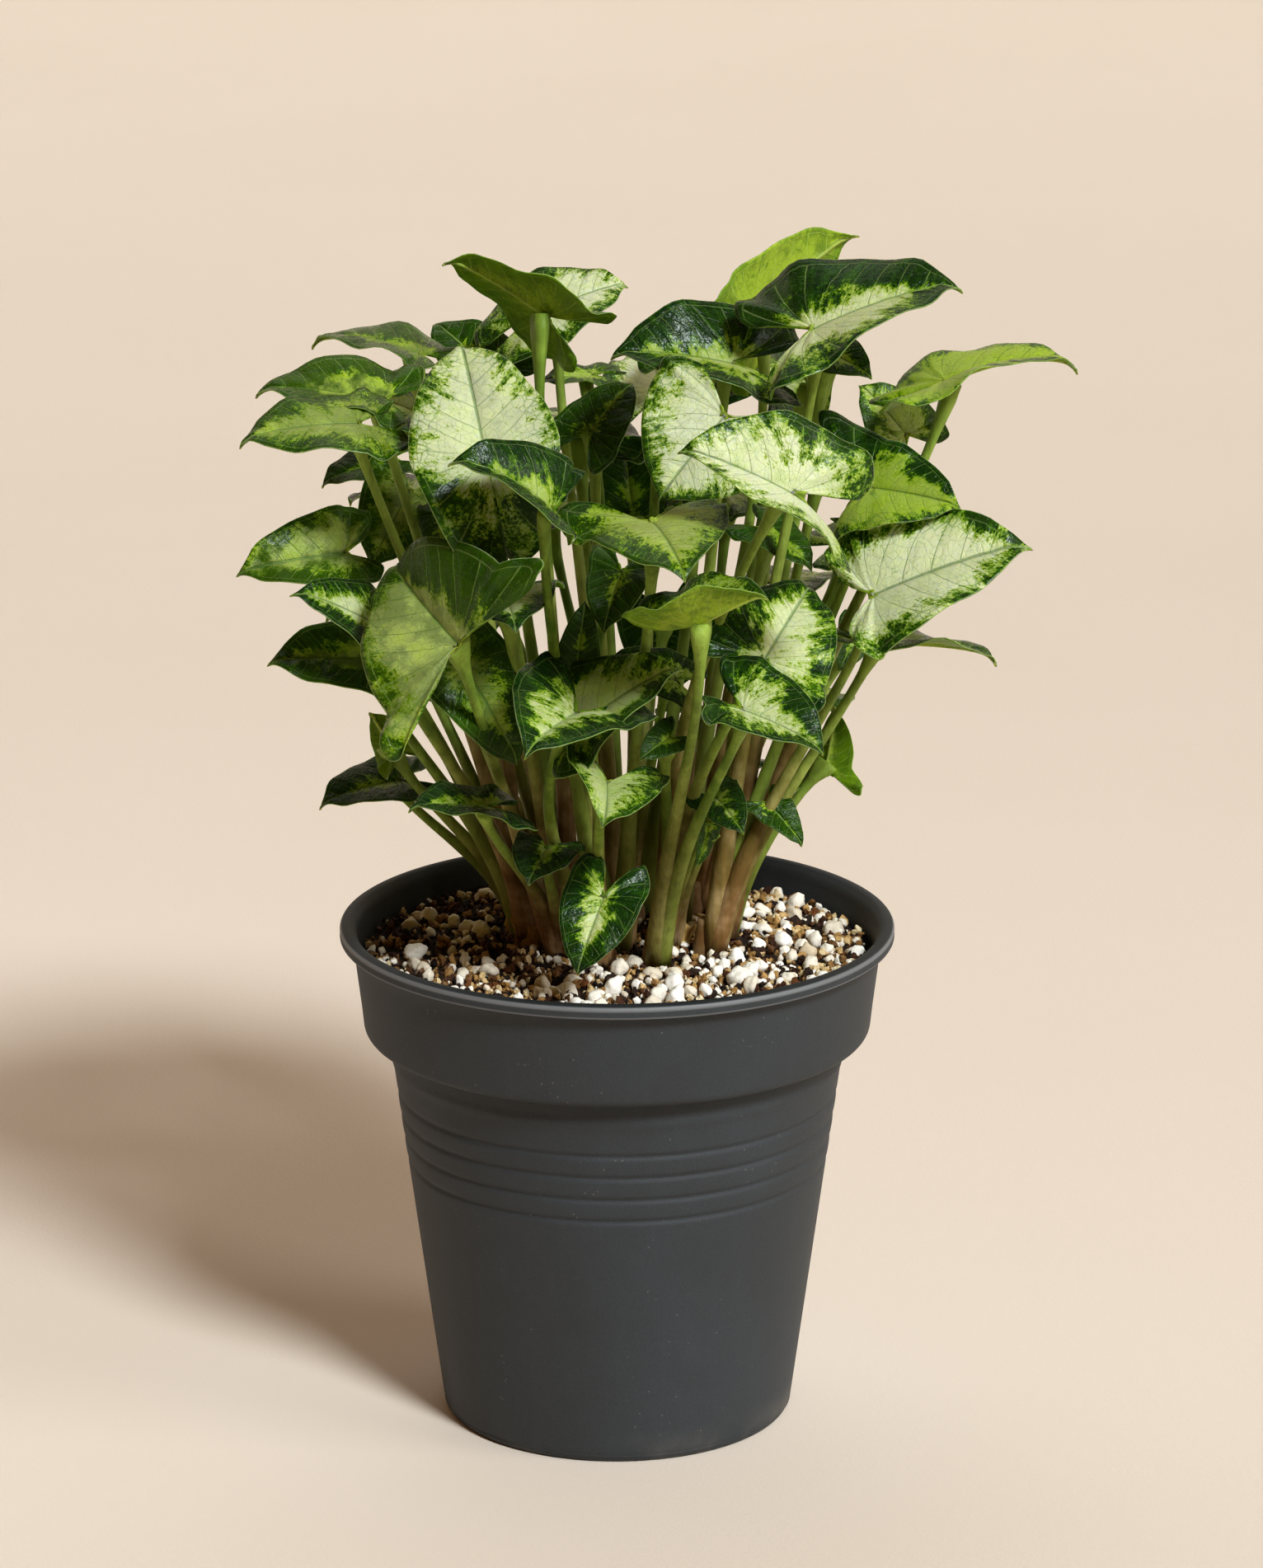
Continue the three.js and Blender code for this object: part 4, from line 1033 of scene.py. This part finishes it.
def addHusk(heap, foot, facing):  # a dry papery sheath round the foot of a shoot
    form = huskForm
    rises = np.linspace(0, 1, form["rows"] + 1)
    rings = []
    for aside in np.linspace(-1, 1, form["columns"] + 1):
        turn = math.radians(facing + 0.5 * form["sweep"] * aside)
        heights = form["height"] * rises * (1 - 0.45 * aside ** 2 + 0.12 * math.sin(9 * aside))
        outer = form["radius"] + form["flare"] * rises ** 2 * (1 + 0.35 * math.sin(7 * aside + 2))
        radii = np.concatenate([outer[::-1], outer - form["thickness"]])
        z = mixForm["top"] - 1 + np.concatenate([heights[::-1], heights])
        rings.append(np.stack([foot[0] + radii * math.cos(turn), foot[1] + radii * math.sin(turn), z], 1))
    heap.put(*loft(rings), stalkShare=0, stalkTone=(0.5, 0, 1))


stalkColours = {
    "green": "557520", "greenPale": "8aa446", "greenSoft": "a5b35c", "neck": "9db552", "sheath": "a3b455",
    "tan": "8f6c42", "tanPale": "c8a880", "lines": "54501f", "foot": "4a3420", "shadow": "2c330f",
    "husk": "a9803f", "huskPale": "cfb173", "huskStain": "6e4f27",
}


def stalkPaint():
    paint = Paint("stalkSkin")
    tint = stalkColours
    share = paint.mark("stalkShare")[0]
    seed, stem, husk = paint.mark("stalkTone")
    place = paint.objectPlace()
    lengthwise = paint.grain(paint.stretch(place, (1, 1, 0.08)), 900, 3.0, 0.6)
    blotch = paint.grain(place, 120, 3.0, 0.6)
    fine = paint.grain(place, 2200, 2.0, 0.6)
    pink = (seed * 7.3).fraction().rise(0.15, 0.6)
    low = share.rise(0.75, 0.1)
    green = paint.layers(
        tint["green"],
        (blotch.rise(0.35, 0.7), tint["greenPale"]),
        ((seed * 3.7).fraction() * 0.5, tint["greenSoft"]),
        (share.rise(0.8, 1.0) * 0.5, tint["neck"]),
        (low * (1 - pink) * 0.7, tint["sheath"]),
    )
    tan = paint.mix(blotch.rise(0.35, 0.7), tint["tan"], tint["tanPale"])
    dry = paint.mix(lengthwise.rise(0.35, 0.65), tint["husk"], tint["huskPale"])
    colour = paint.layers(
        green,
        (stem.orMore(low * (0.05 + 0.95 * pink)), tan),
        (lengthwise.rise(0.45, 0.7) * 0.3, tint["lines"]),
        (share.rise(0.08, 0.0) * 0.3, tint["foot"]),
        (share.rise(0.6, 0.3) * share.rise(0.05, 0.2) * 0.2, tint["shadow"]),
        (husk, paint.mix(blotch.rise(0.5, 0.75) * 0.6, dry, tint["huskStain"])),
    )
    normal = paint.bump(lengthwise, 0.0003, 0.6)
    normal = paint.bump(fine, 0.0001, 0.4, normal)
    return paint.finish(colour, 0.42 + 0.15 * blotch, normal, {
        "Specular IOR Level": 0.22, "Subsurface Weight": 0.3,
        "Subsurface Radius": (0.8, 1.0, 0.3), "Subsurface Scale": 0.001,
    })


def makeShoots():
    net = bladeNet()
    draw = random.Random(bladeForm["seed"])
    leafMaterial = leafPaint()
    stalkMaterial = stalkPaint()
    for number, shoot in enumerate(shoots, 1):
        node = f"shoot_{number:02d}"
        blades, stalks = Heap(), Heap()
        addStem(stalks, shoot["foot"], draw.random())
        for form in shoot["leaves"]:
            seed = draw.random()
            addBlade(blades, form, seed, net)
            addStalk(stalks, shoot["foot"], form, seed)
        if "husk" in shoot:
            addHusk(stalks, shoot["foot"], shoot["husk"])
        makePiece(f"leaves_{number:02d}", blades, leafMaterial, node)
        makePiece(f"stalks_{number:02d}", stalks, stalkMaterial, node)
    print("shoots made:", len(shoots), "with", sum(len(s["leaves"]) for s in shoots), "leaves")


# Stage, light and camera

stageForm = {
    "paper": "d8ccbf", "paperPaintedLight": "e7dbcf", "paperCloud": "cfc2b1",
    "halfWidth": 14000, "front": -14000, "near": 800, "bend": 2600, "bendRadius": 900, "top": 4200,
}
cameraForm = {
    "place": (3.37, -1290.9, 525.1), "pitch": 16.08, "lens": 132.49, "sensor": 36,
    "sight": 30,  # metres
}
lightForm = {
    "key": {"kind": "SUN", "from": (0.5, -0.87, 0.9), "angle": 13, "power": 2.88,
            "colour": (0.9, 0.97, 1.0)},
    "sheen": {"kind": "AREA", "from": (-200, 1300, 2600), "size": 1500, "power": 5.5,
              "colour": (0.86, 0.94, 1.0)},
    "side": {"kind": "SUN", "from": (1.9, -0.7, 0.9), "angle": 23, "power": 0.7,
             "colour": (1.0, 0.98, 0.94)},
    "air": {"colour": "ffbf6c", "strength": 0.145},
}


def stagePaint():
    form = stageForm
    paint = Paint("palePaper")
    place = paint.objectPlace()
    tooth = paint.grain(place, 900, 3.0, 0.6)
    cloud = paint.grain(place, 4, 3.0, 0.5)
    # painted light: the paper is painted lighter towards the front, where the lamps' light falls off
    colour = paint.mix(paint.part(place, 1).rise(0.9, -0.2), form["paper"], form["paperPaintedLight"])
    colour = paint.mix(cloud.rise(0.3, 0.7) * 0.12, colour, form["paperCloud"])
    return paint.finish(colour, 0.85 + 0.05 * tooth, paint.bump(tooth, 0.0003, 0.25),
                        {"Specular IOR Level": 0.2})


def makeStage():
    form = stageForm
    profile = [(form["front"], 0), (-form["near"], 0), (form["near"], 0),
               *arc((form["bend"], form["bendRadius"]), form["bendRadius"], -90, 0, 12),
               (form["bend"] + form["bendRadius"], form["top"])]
    points = [(side * form["halfWidth"], y, z) for y, z in profile for side in (-1, 1)]
    sweep = Heap()
    sweep.put(np.array(points), [[k, k + 1, k + 3, k + 2] for k in range(0, len(points) - 2, 2)])
    makeMesh("paperSweep", sweep, stagePaint())


def makeLight(name):
    form = lightForm[name]
    lamp = bpy.data.lights.new(name, form["kind"])
    if form["kind"] == "SUN":
        lamp.angle = math.radians(form["angle"])
    else:
        lamp.shape = "DISK"
        lamp.size = form["size"] * mm
    lamp.energy = form["power"]
    lamp.color = form["colour"]
    piece = addToScene(name, lamp)
    place = Vector(form["from"])
    piece.location = place * (mm if form["kind"] == "AREA" else 1)
    piece.rotation_euler = (-place).to_track_quat("-Z", "Y").to_euler()


def makeAir():
    world = bpy.data.worlds.new("air")
    world.use_nodes = True
    background = world.node_tree.nodes["Background"]
    background.inputs[0].default_value = hexColour(lightForm["air"]["colour"])
    background.inputs[1].default_value = lightForm["air"]["strength"]
    bpy.context.scene.world = world


def makeCamera():
    form = cameraForm
    lens = bpy.data.cameras.new("camera")
    lens.sensor_width = form["sensor"]
    lens.lens = form["lens"]
    lens.clip_end = form["sight"]
    camera = addToScene("camera", lens)
    camera.location = [value * mm for value in form["place"]]
    camera.rotation_euler = (math.radians(90 - form["pitch"]), 0, 0)
    bpy.context.scene.camera = camera


makeCamera()
makeStage()
for lightName in ("key", "sheen", "side"):
    makeLight(lightName)
makeAir()
print("camera, paper sweep and lights set")
bpy.context.scene.view_settings.view_transform = "Standard"
bpy.context.scene.view_settings.look = "Medium High Contrast"
makePot()
makeMixBed()
perlitePlaces = []
for grainKind in grainForm:
    makeGrains(grainKind, perlitePlaces)
makeShoots()
